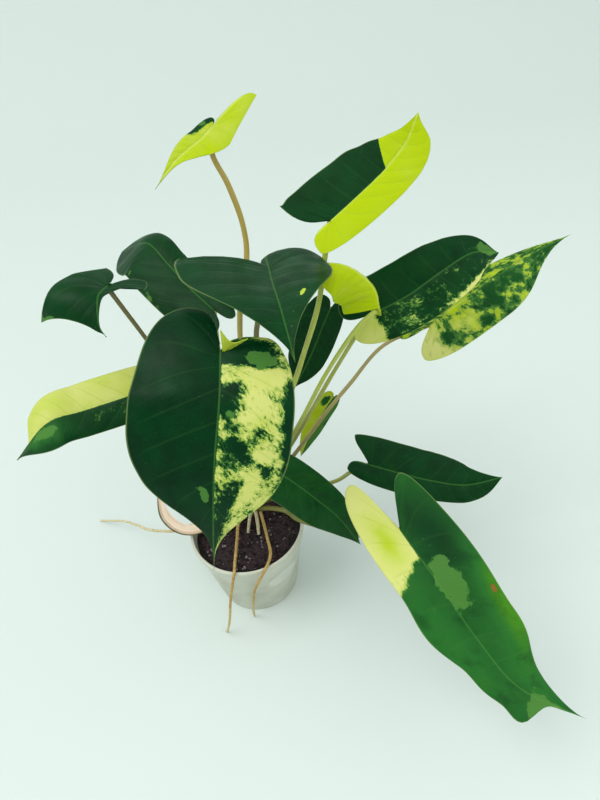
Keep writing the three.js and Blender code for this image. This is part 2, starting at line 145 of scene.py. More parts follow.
# %% [markdown]
# Every leaf is an arrow-shaped blade on a stalk, and no two are alike. Each could be
# sculpted, but fifteen sculpted leaves would be hard to correct. So a leaf is a short list
# of real sizes, and one formula turns the list into a surface. The rib has five points in
# space, and face is the way that the upper side looks at notch, middle and tip. A half has
# its width, its lobe behind the notch, where it is widest, how full its belly and how long
# its point is, and how it cups at the rib and curls on toward the margin. The first leaves
# are those in front and on the right.

# %% Leaves in front and on the right
VIEW = [0.05, -0.72, 0.69]
LEAVES = {
    "front": dict(
        rib=[[26, -70, 400], [22, -100, 381], [12, -120, 344], [2, -132, 297], [-11, -135, 227]],
        face=[[0, -0.9, 0.6]],
        right=dict(width=66, lobe=0.2, corner=0.4, widest=0.33, belly=1.7, point=3, cup=14, curl=-35,
                   ear=-40, drip=(0.6, 0.45, 0.9)),
        left=dict(width=55, lobe=0.06, corner=0.6, widest=0.33, belly=1.9, point=3, cup=10, curl=-35,
                  ear=-30, drip=(0.35, 0.45, 0.9)),
        stalk=dict(height=130, turn=-100, path=[[4, -10, 220], [14, -40, 330]], radius=[2.9, 2.3]),
    ),
    "low_right": dict(
        rib=[[147, -120, 228], [170, -155, 202], [200, -190, 156], [229, -218, 123], [281, -240, 98]],
        face=[[0.1, -0.5, 0.9]],
        right=dict(width=33, lobe=0.24, corner=0.4, notch=0.15, widest=0, belly=2, point=1.5, cup=5,
                   curl=-15, ripple=0.05, bulges=[(0.12, 0.36, 0.1), (-0.12, 0.55, 0.1),
                   (0.75, 0.8, 0.05)], drip=(0.8, 0.8, 0.88)),
        left=dict(width=45, lobe=0.17, corner=0.65, notch=0.4, widest=0.25, belly=2, point=2, cup=5,
                  curl=-15),
        stalk=dict(height=108, turn=-45, path=[[45, -14, 139], [61, -18, 123], [97, -28, 111],
                                               [127, -38, 108], [144, -85, 174]], radius=[2.7, 2.2]),
    ),
    "crown_right": dict(
        rib=[[120, 25, 442], [146, 40, 454], [169, 53, 466], [187, 63, 481], [198, 70, 500]],
        face=[VIEW],
        right=dict(width=24, lobe=0.22, corner=0.55, notch=-0.1, widest=0.4, belly=2.2, point=1.1,
                   cup=8, curl=-15, drip=(0.45, 0.7, 1)),
        left=dict(ripple=0.12, width=37, lobe=0.2, corner=0.95, notch=0.3, widest=0, belly=1.1,
                  point=1.2, cup=8, curl=-15),
        stalk=dict(tuck=8, height=146, turn=-12, path=[[72, 15, 284], [86, 18, 319], [104, 22, 368],
                                                       [115, 26, 417]], radius=[2.8, 2.4]),
    ),
    "right_upper": dict(
        rib=[[153, 35, 342], [185, 36, 356], [215, 38, 375], [243, 44, 386], [270, 52, 378]],
        face=[VIEW],
        right=dict(width=30, lobe=0.18, widest=0.2, belly=2, point=1, cup=8, curl=-15),
        left=dict(width=33, lobe=0.2, widest=0, belly=1.7, point=1.3, cup=8, curl=-15),
        stalk=dict(tuck=8, height=121, turn=10, path=[[78, 22, 228], [111, 26, 284], [143, 32, 335]],
                   radius=[2.6, 2]),
    ),
    "right_marbled": dict(
        rib=[[223, 90, 281], [256, 96, 301], [291, 102, 321], [330, 110, 338], [369, 118, 349]],
        face=[VIEW],
        right=dict(width=41, lobe=0.16, corner=0.6, notch=0.3, widest=0.2, belly=1.7, point=1.8, cup=8,
                   curl=-15, drip=(0.45, 0.45, 0.9), ripple=0.05),
        left=dict(width=19, lobe=0.2, widest=0.05, belly=1.3, point=1.5, cup=8, curl=-15),
        stalk=dict(height=113, turn=26, path=[[68, 35, 177], [104, 48, 216], [133, 66, 236],
                                              [174, 95, 258]], radius=[2.6, 2]),
    ),
}
print("leaves so far", list(LEAVES))

# %% [markdown]
# The leaves in the middle and on the left follow. One of them is rolled into a claw, which
# is the same sheet with a short rib and strong cup and curl. The topmost has a lobe that is
# nearly as long as its blade. Both could be made by other means, but then their veins and
# markings would need other means too.

# %% Leaves in the middle and on the left
LEAVES |= {
    "centre": dict(
        rib=[[67, 0, 422], [69, -30, 426], [72, -62, 430], [75, -92, 428], [78, -112, 415]],
        face=[[0.1, 0, 1], [0, -0.1, 1], [0, -0.6, 1]],
        right=dict(width=72, lobe=0.1, corner=0.95, widest=-0.02, belly=1, point=1.7, cup=18, curl=-25),
        left=dict(width=48, lobe=0.25, notch=-0.25, widest=0.1, belly=1, point=1.9, cup=20, curl=-40),
        stalk=dict(height=139, turn=-45, path=[[36, 15, 275], [46, 12, 342], [51, 5, 370]],
                   radius=[2.8, 2.3]),
    ),
    "left_back": dict(
        rib=[[10, 50, 360], [-10, 75, 370], [-29, 100, 384], [-50, 130, 393], [-85, 165, 370]],
        face=[[-0.2, -0.6, 0.7], [-0.2, -0.5, 0.9], [-0.6, 0, 0.8]],
        right=dict(width=20, lobe=0.14, widest=0.3, belly=3, point=1.2, cup=8, curl=-60),
        left=dict(width=38, lobe=0.12, corner=0.4, widest=0.6, belly=4, point=1.2, cup=8, curl=-20),
        stalk=dict(height=137, turn=105, path=[[2, 38, 220], [6, 44, 300]], radius=[2.7, 2.2]),
    ),
    "left_claw": dict(
        rib=[[-68, 30, 408], [-71, 10, 412], [-72, -2, 405], [-72, -10, 395], [-69, -13, 387]],
        face=[[0, -0.2, 1], [0.1, -0.75, 0.5], [0.1, -0.8, 0.45]],
        right=dict(width=57, lobe=0.5, corner=0.2, notch=0, flare=1.25, widest=0.5, belly=0.34, point=2,
                   cup=[38, 5, -5], curl=-60),
        left=dict(width=28, lobe=0.5, corner=0.8, notch=0.3, widest=-0.2, belly=0.3, point=2,
                  cup=[-10, -15, 0], curl=-15),
        stalk=dict(drop=0.5, height=131, turn=165, path=[[-29, 30, 273], [-49, 30, 344],
                                                         [-62, 30, 386]], radius=[2.4, 1.9]),
    ),
    "left_cream": dict(
        rib=[[-47, 5, 316], [-83, 0, 311], [-117, -5, 307], [-148, -15, 306], [-187, -20, 271]],
        face=[VIEW, VIEW, [-0.9, -0.3, 0.3]],
        right=dict(width=25, lobe=0.2, widest=0.3, belly=2.2, point=0.8, cup=8, curl=-20,
                   drip=(0.95, 0.76, 0.86)),
        left=dict(width=24, lobe=0.2, widest=0.3, belly=3, point=1.5, cup=8, curl=-20,
                  bulges=[(0.3, 0.82, 0.12)]),
        stalk=dict(tuck=8, height=122, turn=-155, path=[[-12, 16, 180], [-28, 10, 260]], radius=[2.5, 2]),
    ),
    "crown_left": dict(
        rib=[[41, 40, 518], [33, 30, 514], [24, 22, 511], [12, 15, 505], [-4, 5, 492]],
        face=[[0.3, -0.6, 0.8], [0.2, -0.7, 0.8], [0.1, -0.8, 0.6]],
        right=dict(width=9, lobe=0.1, widest=0.3, belly=1.5, point=2, cup=8, curl=-20),
        left=dict(flare=1, width=17.5, lobe=0.82, ear=-16, corner=0.42, notch=-0.15, widest=0.05,
                  belly=0.9, point=1.8, cup=8, curl=-20),
        stalk=dict(height=150.8, turn="top", path=[[33, 28, 349], [49, 32, 412], [51, 35, 443],
                                                   [45, 40, 474], [37, 44, 497]], radius=[2.9, 2.2]),
    ),
}
print("leaves so far", len(LEAVES))

# %% [markdown]
# The last leaves are a young one that is still folded like a hood, and four that stand low
# or in the shade behind the others. Only parts of them are seen from the camera, but they
# are whole leaves, so that the plant can be turned round.

# %% Folded and shaded leaves
LEAVES |= {
    "hood": dict(
        rib=[[153, 0, 372], [150, 2, 388], [139, 5, 403], [123, 8, 413], [98, 12, 415]],
        face=[[-0.1, -0.9, 0.3], [-0.1, -0.8, 0.5], [0, -0.5, 0.8]],
        right=dict(width=30, lobe=0.2, corner=0.75, notch=0.2, widest=0.1, belly=1.6, point=1.2,
                   cup=-80, curl=-60),
        left=dict(width=31, lobe=0.01, corner=1, notch=0.5, widest=0.3, belly=2.6, point=0.8, cup=0,
                  curl=-25),
        stalk=dict(height=129, turn=-18, path=[[75, 10, 243], [104, 8, 301], [133, 4, 350]],
                   end=[150.3, 0.9, 369], radius=[2.5, 2]),
    ),
    "back_shade": dict(
        rib=[[118, 75, 326], [109, 75, 306], [99, 75, 282], [86, 75, 255], [72, 75, 231]],
        face=[VIEW],
        right=dict(width=25, lobe=0.12, widest=0.3, belly=2, point=1.5, cup=8, curl=-20),
        left=dict(width=18, lobe=0.12, widest=0.3, belly=2, point=1.5, cup=8, curl=-20),
        stalk=dict(tuck=8, height=127, turn=60, path=[[60, 95, 220], [105, 92, 300]], radius=[2.4, 2]),
    ),
    "low_lime": dict(
        rib=[[113, 68, 216], [104, 68, 202], [94, 68, 184], [82, 68, 160], [70, 68, 131]],
        face=[VIEW],
        right=dict(width=13, lobe=0.08, widest=0.2, belly=2.2, point=1.1, cup=8, curl=-20),
        left=dict(width=10, lobe=0.08, widest=0.2, belly=2.2, point=1.1, cup=8, curl=-20),
        stalk=dict(height=117, turn=52, path=[[58, 80, 146], [106, 78, 196]], radius=[2.2, 1.7]),
    ),
    "low_front": dict(
        rib=[[39, -30, 230], [59, -35, 210], [81, -40, 183], [102, -45, 153], [122, -50, 109]],
        face=[VIEW],
        right=dict(width=26, lobe=0.2, widest=0.3, belly=2, point=1.5, cup=8, curl=-20),
        left=dict(width=22, lobe=0.2, widest=0.3, belly=2, point=1.5, cup=8, curl=-20),
        stalk=dict(height=116, turn=-70, path=[[20, 0, 160], [32, -14, 210]], radius=[2.5, 2]),
    ),
    "arrow": dict(
        rib=[[138, -20, 201], [169, -20, 182], [203, -20, 163], [240, -20, 149], [278, -20, 154]],
        face=[VIEW],
        right=dict(width=20, lobe=0.15, notch=-0.1, widest=0.3, belly=3.6, point=1.2, cup=8, curl=-20),
        left=dict(width=29.5, lobe=0.16, corner=0.82, notch=0.6, widest=0.3, belly=2, point=1.5, cup=8,
                  curl=-20),
        stalk=dict(tuck=8, height=112.5, turn=-18, path=[[76, -4, 158], [104, -14, 176],
                                                         [123, -18, 189]], radius=[2.4, 1.9]),
    ),
}
rib_points = smooth_curve(LEAVES["front"]["rib"], np.linspace(0, 1, 200))
rib_run = np.linalg.norm(np.diff(rib_points, axis=0), axis=1).sum()
print("leaves", len(LEAVES), "and the front midrib in mm", round(rib_run))

# %% [markdown]
# Blender keeps a mesh as points, corners and faces. Primitives and modifiers could make
# some of these shapes, but leaves and bark need exact control over every point. So each
# surface is computed as whole arrays and then handed over at once, which is also fast.
# Named attributes travel with the points, and the materials read them later.

# %% Making a mesh
SMOOTH_BELOW = 50
LAYER_TYPE = ("FLOAT_VECTOR", "POINT")


def make_piece(name, points, triangles, material, slot, attributes=None, angle=SMOOTH_BELOW):
    """A piece of the plant as one object at the origin, riding on the root body."""
    mesh = bpy.data.meshes.new(name)
    mesh.vertices.add(len(points))
    mesh.vertices.foreach_set("co", np.asarray(points * MM, np.float32).ravel())
    mesh.loops.add(triangles.size)
    mesh.loops.foreach_set("vertex_index", np.asarray(triangles, np.int32).ravel())
    mesh.polygons.add(len(triangles))
    mesh.polygons.foreach_set("loop_start", np.arange(0, triangles.size, 3, dtype=np.int32))
    mesh.polygons.foreach_set("use_smooth", np.ones(len(triangles), bool))
    mesh.update(calc_edges=True)
    mesh.set_sharp_from_angle(angle=math.radians(angle))
    for key, values in (attributes or {}).items():
        layer = mesh.attributes.new(key, *LAYER_TYPE)
        layer.data.foreach_set("vector", np.asarray(values, np.float32).ravel())
    mesh.materials.append(material)
    piece = bpy.data.objects.new(name, mesh)
    bpy.context.scene.collection.objects.link(piece)
    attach(piece, "root")
    return piece


def grid_triangles(index):
    """Two triangles for each cell of an index grid, without those that have no area."""
    a, b, c, d = index[:-1, :-1], index[:-1, 1:], index[1:, 1:], index[1:, :-1]
    halves = [np.stack([a, b, c], -1).reshape(-1, 3), np.stack([a, c, d], -1).reshape(-1, 3)]
    both = np.concatenate(halves)
    keep = (both[:, 0] != both[:, 1]) & (both[:, 1] != both[:, 2]) & (both[:, 2] != both[:, 0])
    return both[keep]


def ring_index(rings, sides):
    """Point numbers of rings, with each ring's first number again at its end."""
    index = np.arange(rings * sides).reshape(rings, sides)
    return np.hstack([index, index[:, :1]])


def fan(tip, a, b):
    """Triangles from one point to each pair of points a, b."""
    return np.stack([np.full(len(a), tip), a, b], -1)


def capped(index, first, last):
    """Triangles of a closed skin: the grid's cells, and a fan round the point at each end."""
    start, end = index[0], index[-1]
    fans = [fan(first, start[1:], start[:-1]), fan(last, end[:-1], end[1:])]
    return np.concatenate([grid_triangles(index)] + fans)


print("a ring of three sides", ring_index(1, 3).tolist())

# %% [markdown]
# Stalks and roots are round, long and uneven. A Blender curve with a bevel gives a plain
# tube, but not one with grooves, knees and warts. So the tube is computed: a ring is carried
# along the path and turned as little as possible from one place to the next, which keeps
# it from twisting, and a function of the place changes its radius.

# %% Tubes
PATH_SAMPLES = 400
FIRST_SIDEWAYS = [0.3, 0.9, 0.1]
FULL_TURN = 6.2832


def even_points(points, steps):
    """Points at even distances along the smooth curve, and its whole length."""
    t = np.linspace(0, 1, PATH_SAMPLES)
    fine = smooth_curve(points, t)
    run = np.concatenate([[0], np.cumsum(np.linalg.norm(np.diff(fine, axis=0), axis=1))])
    share = np.linspace(0, 1, steps + 1)
    return share, smooth_curve(points, np.interp(share * run[-1], run, t)), run[-1]


def untwisted_frames(centre):
    """Two directions across the path: each side is the one before, less its part along it."""
    forward = unit(np.gradient(centre, axis=0))
    side = np.zeros_like(forward)
    side[0] = unit(np.cross(forward[0], FIRST_SIDEWAYS))
    for i in range(1, len(centre)):
        side[i] = unit(side[i - 1] - forward[i] * np.dot(side[i - 1], forward[i]))
    return side, np.cross(forward, side)


def tube(points, radius, sides, steps, bumps=None):
    """Closed tube: centre + (side * cos turn + up * sin turn) * (radius + bumps)."""
    share, centre, length = even_points(points, steps)
    side, up = untwisted_frames(centre)
    turn = np.linspace(0, 2 * np.pi, sides, endpoint=False)
    size = np.interp(share, [0, 1], radius)[:, None] * np.ones(sides)
    if bumps is not None:
        size = size + bumps(share[:, None], turn[None, :], length)
    ring = side[:, None] * np.cos(turn)[None, :, None] + up[:, None] * np.sin(turn)[None, :, None]
    body = (centre[:, None] + ring * size[..., None]).reshape(-1, 3)
    facets = capped(ring_index(steps + 1, sides), len(body), len(body) + 1)
    lane = np.stack(np.broadcast_arrays(share[:, None], turn / FULL_TURN, share[:, None] * length), -1)
    lane = np.concatenate([lane.reshape(-1, 3), [[0, 0, 0], [1, 0, length]]])
    return np.vstack([body, centre[:1], centre[-1:]]), facets, {"lane": lane}


print("a short tube has", len(tube([[0, 0, 0], [0, 0, 9]], (1, 1), 8, 4)[1]), "triangles")

# %% [markdown]
# The outline of a half runs from the notch round the lobe to its corner, on to the widest
# place, and down to the tip. It could be traced as a long list of points, but three smooth
# stretches with a few sizes are enough and stay easy to change. Rows go from the rib to the
# margin, the way side veins run in the real leaf, and they crowd where the outline turns.

# %% Rows of a half
HALF = {"corner": 0.4, "notch": 0.08, "flare": 0, "ear": 0}
ROWS = {"inner": 9, "outer": 24, "body": 66}
FIRST_STATION = 0.12
SHORT_LOBE = 0.05
LOBE_PULL, NOTCH_PULL, CORNER_PULL, WIDEST_PULL = 0.45, 0.6, 0.6, 0.55
OUTER_CROWDING, BODY_CROWDING, TIP_CROWDING = 1.5, 0.9, 1.15
NO_DRIP = (0, 0.45, 0.9)


def lobe_rows(half):
    """Margin of the lobe: a cubic from the notch to the corner, and one to the widest place.

    With flare 0 the second cubic is round, and with flare 1 it is a straight line.
    """
    lobe, corner, notch = half["lobe"], half["corner"], half["notch"]
    flare, widest = half["flare"], half["widest"]
    end = np.array([-lobe, corner])
    inner = bezier([[0, 0], [-LOBE_PULL * lobe, NOTCH_PULL * notch], [-lobe, notch], end],
                   np.arange(1, ROWS["inner"] + 1) / ROWS["inner"])
    if lobe < SHORT_LOBE:
        inner = inner[-1:]
    corner_round = np.array([[-lobe, corner + CORNER_PULL * (1 - corner)],
                             [widest - WIDEST_PULL * (widest + lobe), 1]])
    corner_straight = end + (np.array([widest, 1]) - end) * np.array([[1 / 3], [2 / 3]])
    mixed = (1 - flare) * corner_round + flare * corner_straight
    i = np.arange(1, ROWS["outer"] + 1) / ROWS["outer"]
    outer = bezier([end, mixed[0], mixed[1], [widest, 1]], i)
    return inner, outer, FIRST_STATION * i ** OUTER_CROWDING


def margin_rows(half):
    """Root on the rib, x along and y across of the margin for every row of a half.

    Past the widest place, y is cos(90 degrees * s^belly)^point at the share s of the way to
    the tip. The drip narrows it once more, so that the tip is drawn out.
    """
    inner, outer, outer_root = lobe_rows(half)
    widest = half["widest"]
    j = np.arange(1, ROWS["body"] + 1) / ROWS["body"]
    s = 1 - (1 - j ** BODY_CROWDING) ** TIP_CROWDING
    breadth = np.cos(np.pi / 2 * s ** half["belly"]).clip(0) ** half["point"]
    drip, low, high = half.get("drip", NO_DRIP)
    breadth = breadth * (1 - drip * smoothstep(low, high, s))
    root = np.concatenate([np.zeros(len(inner)), outer_root, FIRST_STATION + (1 - FIRST_STATION) * s])
    x = np.concatenate([inner[:, 0], outer[:, 0], widest + (1 - widest) * s])
    y = np.concatenate([inner[:, 1], outer[:, 1], breadth])
    return root, x, y, len(inner)


print("rows of a half", len(margin_rows({**HALF, **LEAVES["front"]["right"]})[0]))

# %% [markdown]
# A leaf isn't flat: it bends along its rib, and each half cups up or curls down. A flat
# outline with a bend modifier would do for one leaf, but not for two halves that differ.
# Here every row is an arc in the plane across the rib. Its angle starts at the cup and grows
# by the curl up to the margin, so the sheet keeps its true width however it is rolled.

# %% Bending the halves
RIB_STEP = 1e-3
NEARLY_NOUGHT = 1e-7


def rib_frames(leaf, x):
    """Point and direction of the rib, upper-face direction and sideways direction.

    Upward is the face direction less its part along the rib; sideways is their cross product.
    """
    at = smooth_curve(leaf["rib"], x)
    forward = unit(smooth_curve(leaf["rib"], np.minimum(x + RIB_STEP, 1)) -
                   smooth_curve(leaf["rib"], np.maximum(x - RIB_STEP, 0)))
    face = np.array(leaf["face"] if len(leaf["face"]) == 3 else leaf["face"] * 3, float)
    up = unit(np.stack([along(list(face[:, k]), x) for k in range(3)], -1))
    up = unit(up - forward * np.sum(up * forward, -1, keepdims=True))
    return at, forward, up, np.cross(forward, up)


def not_zero(value):
    """The value, or a tiny one in its place, so that an arc formula never divides by nought."""
    return np.where(np.abs(value) < NEARLY_NOUGHT, NEARLY_NOUGHT, value)


def blade_points(leaf, half, sign, length, x, y):
    """Points of a half at x along (negative in the lobe) and y across, both as shares.

    across = (sin end - sin start) / rate and cup = (cos start - cos end) / rate, where the
    angle goes from start to end at that rate per millimetre. The lobe bends back as an arc too.
    """
    station = np.clip(x, 0, 1)
    at, forward, up, side = rib_frames(leaf, station)
    back = (-np.minimum(x, 0) * length)[:, None]
    bend = not_zero(math.radians(half["ear"]) / not_zero(half["lobe"] * length))
    at = at - forward * np.sin(bend * back) / bend + up * (1 - np.cos(bend * back)) / bend
    raised = up * np.cos(bend * back) + forward * np.sin(bend * back)
    start = np.radians(along(half["cup"], station))
    rate = not_zero(np.radians(along(half["curl"], station)) / half["width"])
    end = start + rate * y * half["width"]
    at = at + side * (sign * (np.sin(end) - np.sin(start)) / rate)[:, None]
    return at + raised * ((np.cos(start) - np.cos(end)) / rate)[:, None]


def rib_length(leaf):
    """Length of the midrib: the sum of 400 short chords."""
    curve = smooth_curve(leaf["rib"], np.linspace(0, 1, 401))
    return np.linalg.norm(np.diff(curve, axis=0), axis=1).sum()


print("midribs, mm", {name: round(rib_length(leaf)) for name, leaf in LEAVES.items()})

# %% [markdown]
# Now the rows of both halves become one sheet. Two separate halves would leave a crack
# along the middle, so they share the points of the rib. Each point also gets its place in
# the blade: rank is its row as a share from notch to tip, and lane is signed by the half.
# The margin of a real leaf is never quite even, hence the ripple and the swellings.

# %% Sheet of a blade
COLUMNS = 30
RIPPLE = 0.02
RIPPLE_COUNT, RIPPLE_ACROSS = 11, 0.8
SHEATH_SEED = 3
NOTCH_RANK = 0.05


def half_grid(leaf, half, rows):
    """Shares x and y of every point of a half, and the shares of its columns and rows.

    x goes in a straight line from the root on the rib to the margin, and y is the margin's y
    times the column's share, changed by the ripple and by bell-shaped swellings.
    """
    root, x, y, _ = rows
    v = np.arange(1, COLUMNS + 1) / COLUMNS
    grid_x = root[:-1, None] + (x - root)[:-1, None] * v
    rank = np.arange(len(root) - 1)[:, None] / (len(root) - 1)
    seed = len(leaf["stalk"]["path"]) if "stalk" in leaf else SHEATH_SEED
    bumps = waves(rank * RIPPLE_COUNT, v * RIPPLE_ACROSS, seed)
    grid_y = y[:-1, None] * v * (1 + half.get("ripple", RIPPLE) * bumps * v ** 3)
    for swell, place, reach in half.get("bulges", []):
        grid_y = grid_y * (1 + swell * np.exp(-((x[:-1, None] - place) / reach) ** 2) * v)
    return grid_x, grid_y, v, rank


def half_sheet(leaf, name, sign, length, count):
    """Points, lanes, flat places and triangles of one half, numbered from count on."""
    half = {**HALF, **leaf[name]}
    rows = margin_rows(half)
    root, inner = rows[0], rows[3]
    grid_x, grid_y, v, rank = half_grid(leaf, half, rows)
    points = blade_points(leaf, half, sign, length, grid_x.ravel(), grid_y.ravel())
    rank, share = np.broadcast_to(rank, grid_x.shape), np.broadcast_to(v, grid_x.shape)
    lanes = np.stack([rank, sign * share, root[:-1, None] + 0 * grid_x], -1).reshape(-1, 3)
    flats = np.stack([grid_x * length, sign * grid_y * half["width"], grid_x], -1).reshape(-1, 3)
    ribs = 1 + ROWS["outer"] + ROWS["body"]
    rib_index = np.concatenate([np.zeros(inner, int), np.arange(1, ribs)])
    index = np.arange(grid_x.size).reshape(grid_x.shape) + count
    index = np.vstack([np.hstack([rib_index[:-1, None], index]), np.full(COLUMNS + 1, ribs - 1)])
    facets = grid_triangles(index)
    return points, lanes, flats, facets if sign > 0 else facets[:, [0, 2, 1]], rows


def blade_sheet(leaf):
    """Open sheet of both halves: points, triangles, lanes and flat places in mm."""
    length = rib_length(leaf)
    ribs = 1 + ROWS["outer"] + ROWS["body"]
    right = half_sheet(leaf, "right", 1, length, ribs)
    left = half_sheet(leaf, "left", -1, length, ribs + len(right[0]))
    root, inner = left[4][0], left[4][3]
    stations = np.concatenate([[0], root[inner:]])
    rank = np.linspace(inner, len(root) - 1, ribs - 1) / (len(root) - 1)
    rank = np.concatenate([[NOTCH_RANK], rank])
    rib_points = blade_points(leaf, {**HALF, **leaf["right"]}, 1, length, stations, 0 * stations)
    rib_lane = np.stack([rank, 0 * stations, stations], -1)
    rib_flat = np.stack([stations * length, 0 * stations, stations], -1)
    return (np.vstack([rib_points, right[0], left[0]]), np.concatenate([right[3], left[3]]),
            np.vstack([rib_lane, right[1], left[1]]), np.vstack([rib_flat, right[2], left[2]]))


sheet = blade_sheet(LEAVES["front"])
print("front leaf sheet", len(sheet[0]), "points", len(sheet[1]), "triangles")

# %% [markdown]
# A real blade is about half a millimetre thick, with a groove over the midrib, a ridge
# below it and shallow furrows over the side veins. Here it has the 0.9 mm of the CAD solid
# in its middle. A Solidify modifier could add the thickness, but not a rib. So both faces
# are offset from the waved sheet by an amount that depends on the place: more at the rib,
# less at the margin.

# %% Relief and thickness
BLADE_THICKNESS = 0.9
MARGIN_THINNING = 0.45
SIDE_VEINS, VEIN_BEND = 11, 0.35
QUILT, WAVE, WAVES_ALONG, WAVES_ACROSS = 0.2, 1.1, 9, 1.5
RIB_GROOVE, GROOVE_WIDTH = 0.3, 1.3
RIB_BELOW, RIDGE_WIDTH = 1.0, 1.5


def vein_furrow(rank, share):
    """0 on a side vein, 1 halfway: (1 - cos(360 degrees * phase)) / 2; veins bend with share^2."""
    phase = rank * SIDE_VEINS - VEIN_BEND * share ** 2
    return 0.5 - 0.5 * np.cos(2 * np.pi * phase)


def point_normals(points, triangles):
    """At each point, the cross products of its triangles' edges, summed and made unit."""
    a, b, c = (points[triangles[:, k]] for k in range(3))
    face = np.cross(b - a, c - a)
    total = np.zeros_like(points)
    for k in range(3):
        np.add.at(total, triangles[:, k], face)
    return unit(total)


def relief_height(lane, seed, wave):
    """Furrows of the side veins and slow waves, which grow with the square of the share."""
    share = np.abs(lane[:, 1])
    fade = smoothstep(0, 0.15, share) * smoothstep(1.02, 0.9, lane[:, 0])
    relief = QUILT * (vein_furrow(lane[:, 0], share) - 0.5) * fade * smoothstep(1.05, 0.75, share)
    slow = waves(lane[:, 0] * WAVES_ALONG, lane[:, 1] * WAVES_ACROSS, seed)
    return relief + wave * slow * share ** 2 * smoothstep(1, 0.85, lane[:, 0])


def rim_triangles(faces, count):
    """Two triangles over each open edge, between the upper and the lower face."""
    edges = np.concatenate([faces[:, [0, 1]], faces[:, [1, 2]], faces[:, [2, 0]]])
    codes = edges[:, 0] * count + edges[:, 1]
    open_edge = ~np.isin(edges[:, 1] * count + edges[:, 0], codes)
    a, b = edges[open_edge].T
    return np.concatenate([np.stack([b, a, a + count], -1), np.stack([b, a + count, b + count], -1)])


def thicken(points, faces, lane, flat, seed, wave=WAVE):
    """Closed blade: sheet + normal * (half thickness + rib), and a rim round the margin.

    Groove and ridge are bells over the distance from the midrib, and fade toward the tip.
    """
    normal = point_normals(points, faces)
    share, across = np.abs(lane[:, 1]), np.abs(flat[:, 1])
    middle = points + normal * relief_height(lane, seed, wave)[:, None]
    half = BLADE_THICKNESS / 2 * (1 - MARGIN_THINNING * smoothstep(0.8, 1, share))
    taper = smoothstep(1.0, 0.7, lane[:, 2])
    upper = half - RIB_GROOVE * np.exp(-(across / GROOVE_WIDTH) ** 2) * taper
    lower = half + RIB_BELOW * np.exp(-(across / RIDGE_WIDTH) ** 2) * (0.3 + 0.7 * taper)
    both = np.vstack([middle + normal * upper[:, None], middle - normal * lower[:, None]])
    count = len(points)
    return both, np.concatenate([faces, faces[:, [0, 2, 1]] + count, rim_triangles(faces, count)])


def both_faces(fields):
    """The same attributes for the upper and for the lower face."""
    return {key: np.vstack([value, value]) for key, value in fields.items()}


print("front leaf thickened to", len(thicken(*sheet, 1)[1]), "triangles")

# %% [markdown]
# Materials in Blender are graphs of nodes. They could be drawn in the shader editor, but
# written as code they can be shared between pieces and read like a recipe. These helpers
# are the words of that recipe: a step, a blend, a noise with its own scale on each axis,
# and a stain that lays one colour over another where a field is high.

# %% Node helpers
def rgb(text):
    """Linear colour with alpha from a #rrggbb text, by the sRGB curve."""
    parts = [int(text[k:k + 2], 16) / 255 for k in (1, 3, 5)]
    return [c / 12.92 if c <= 0.04045 else ((c + 0.055) / 1.055) ** 2.4 for c in parts] + [1]


def node(tree, kind, inputs=None, **settings):
    """A shader node with its settings, and its inputs linked or set."""
    new = tree.nodes.new(kind)
    for key, value in settings.items():
        setattr(new, key, value)
    for key, value in (inputs or {}).items():
        if isinstance(value, bpy.types.NodeSocket):
            tree.links.new(value, new.inputs[key])
        else:
            new.inputs[key].default_value = value
    return new


def calc(tree, operation, a, b=0.0, c=0.0):
    """One maths step; MULTIPLY_ADD is a * b + c."""
    return node(tree, "ShaderNodeMath", {0: a, 1: b, 2: c}, operation=operation).outputs[0]


def step(tree, value, low, high, start=0.0, end=1.0):
    """Smooth step from start to end while the value goes from low to high."""
    return node(tree, "ShaderNodeMapRange", {0: value, 1: low, 2: high, 3: start, 4: end},
                interpolation_type="SMOOTHSTEP").outputs[0]


def blend(tree, factor, a, b):
    """Mix of two colours: a where the factor is 0 and b where it is 1."""
    mix = node(tree, "ShaderNodeMix", {"Factor": factor, 6: a, 7: b}, data_type="RGBA")
    return mix.outputs[2]


def tinted(tree, colour, tint, where, amount):
    """A colour with an amount of a tint where a field is 1."""
    return blend(tree, calc(tree, "MULTIPLY", where, amount), colour, rgb(tint))


def stained(tree, colour, tint, field, low, high, amount=1.0):
    """A colour with a tint that sets in, up to an amount, while a field goes from low to high."""
    return blend(tree, step(tree, field, low, high, 0.0, amount), colour, rgb(tint))


def noise(tree, vector, scale, detail=2.0, rough=0.5):
    """Fractal noise, about 0.5 in the middle."""
    return node(tree, "ShaderNodeTexNoise",
                {"Vector": vector, "Scale": scale, "Detail": detail, "Roughness": rough}).outputs[0]


def pattern(tree, vector, scales, detail=2.0, rough=0.5):
    """Noise with a scale for each axis: a high one makes it fine that way, 0 makes it even."""
    scaled = node(tree, "ShaderNodeVectorMath", {0: vector, 1: scales}, operation="MULTIPLY")
    return noise(tree, scaled.outputs[0], 1.0, detail, rough)


def shifted(tree, base, field, amount):
    """A base value plus an amount times what a noise has over its middle, 0.5."""
    return calc(tree, "MULTIPLY_ADD", calc(tree, "SUBTRACT", field, 0.5), amount, base)


print("black and white", rgb("#000000"), rgb("#ffffff"))

# %% [markdown]
# A few more helpers concern the shader itself. Values that are the same everywhere are set
# on the shader's own sockets, and only what changes over the surface is linked. Relief comes
# from a bump node, which costs no triangles and is enough for anything finer than a vein.

# %% Surface helpers
def attribute(tree, name):
    """A mesh attribute as a vector and as its three numbers."""
    source = node(tree, "ShaderNodeAttribute", attribute_name=name)
    parts = node(tree, "ShaderNodeSeparateXYZ", {0: source.outputs["Vector"]})
    return source.outputs["Vector"], parts.outputs


def object_place(tree):
    """Place of a point in the object's own coordinates, in metres."""
    return node(tree, "ShaderNodeTexCoord").outputs["Object"]


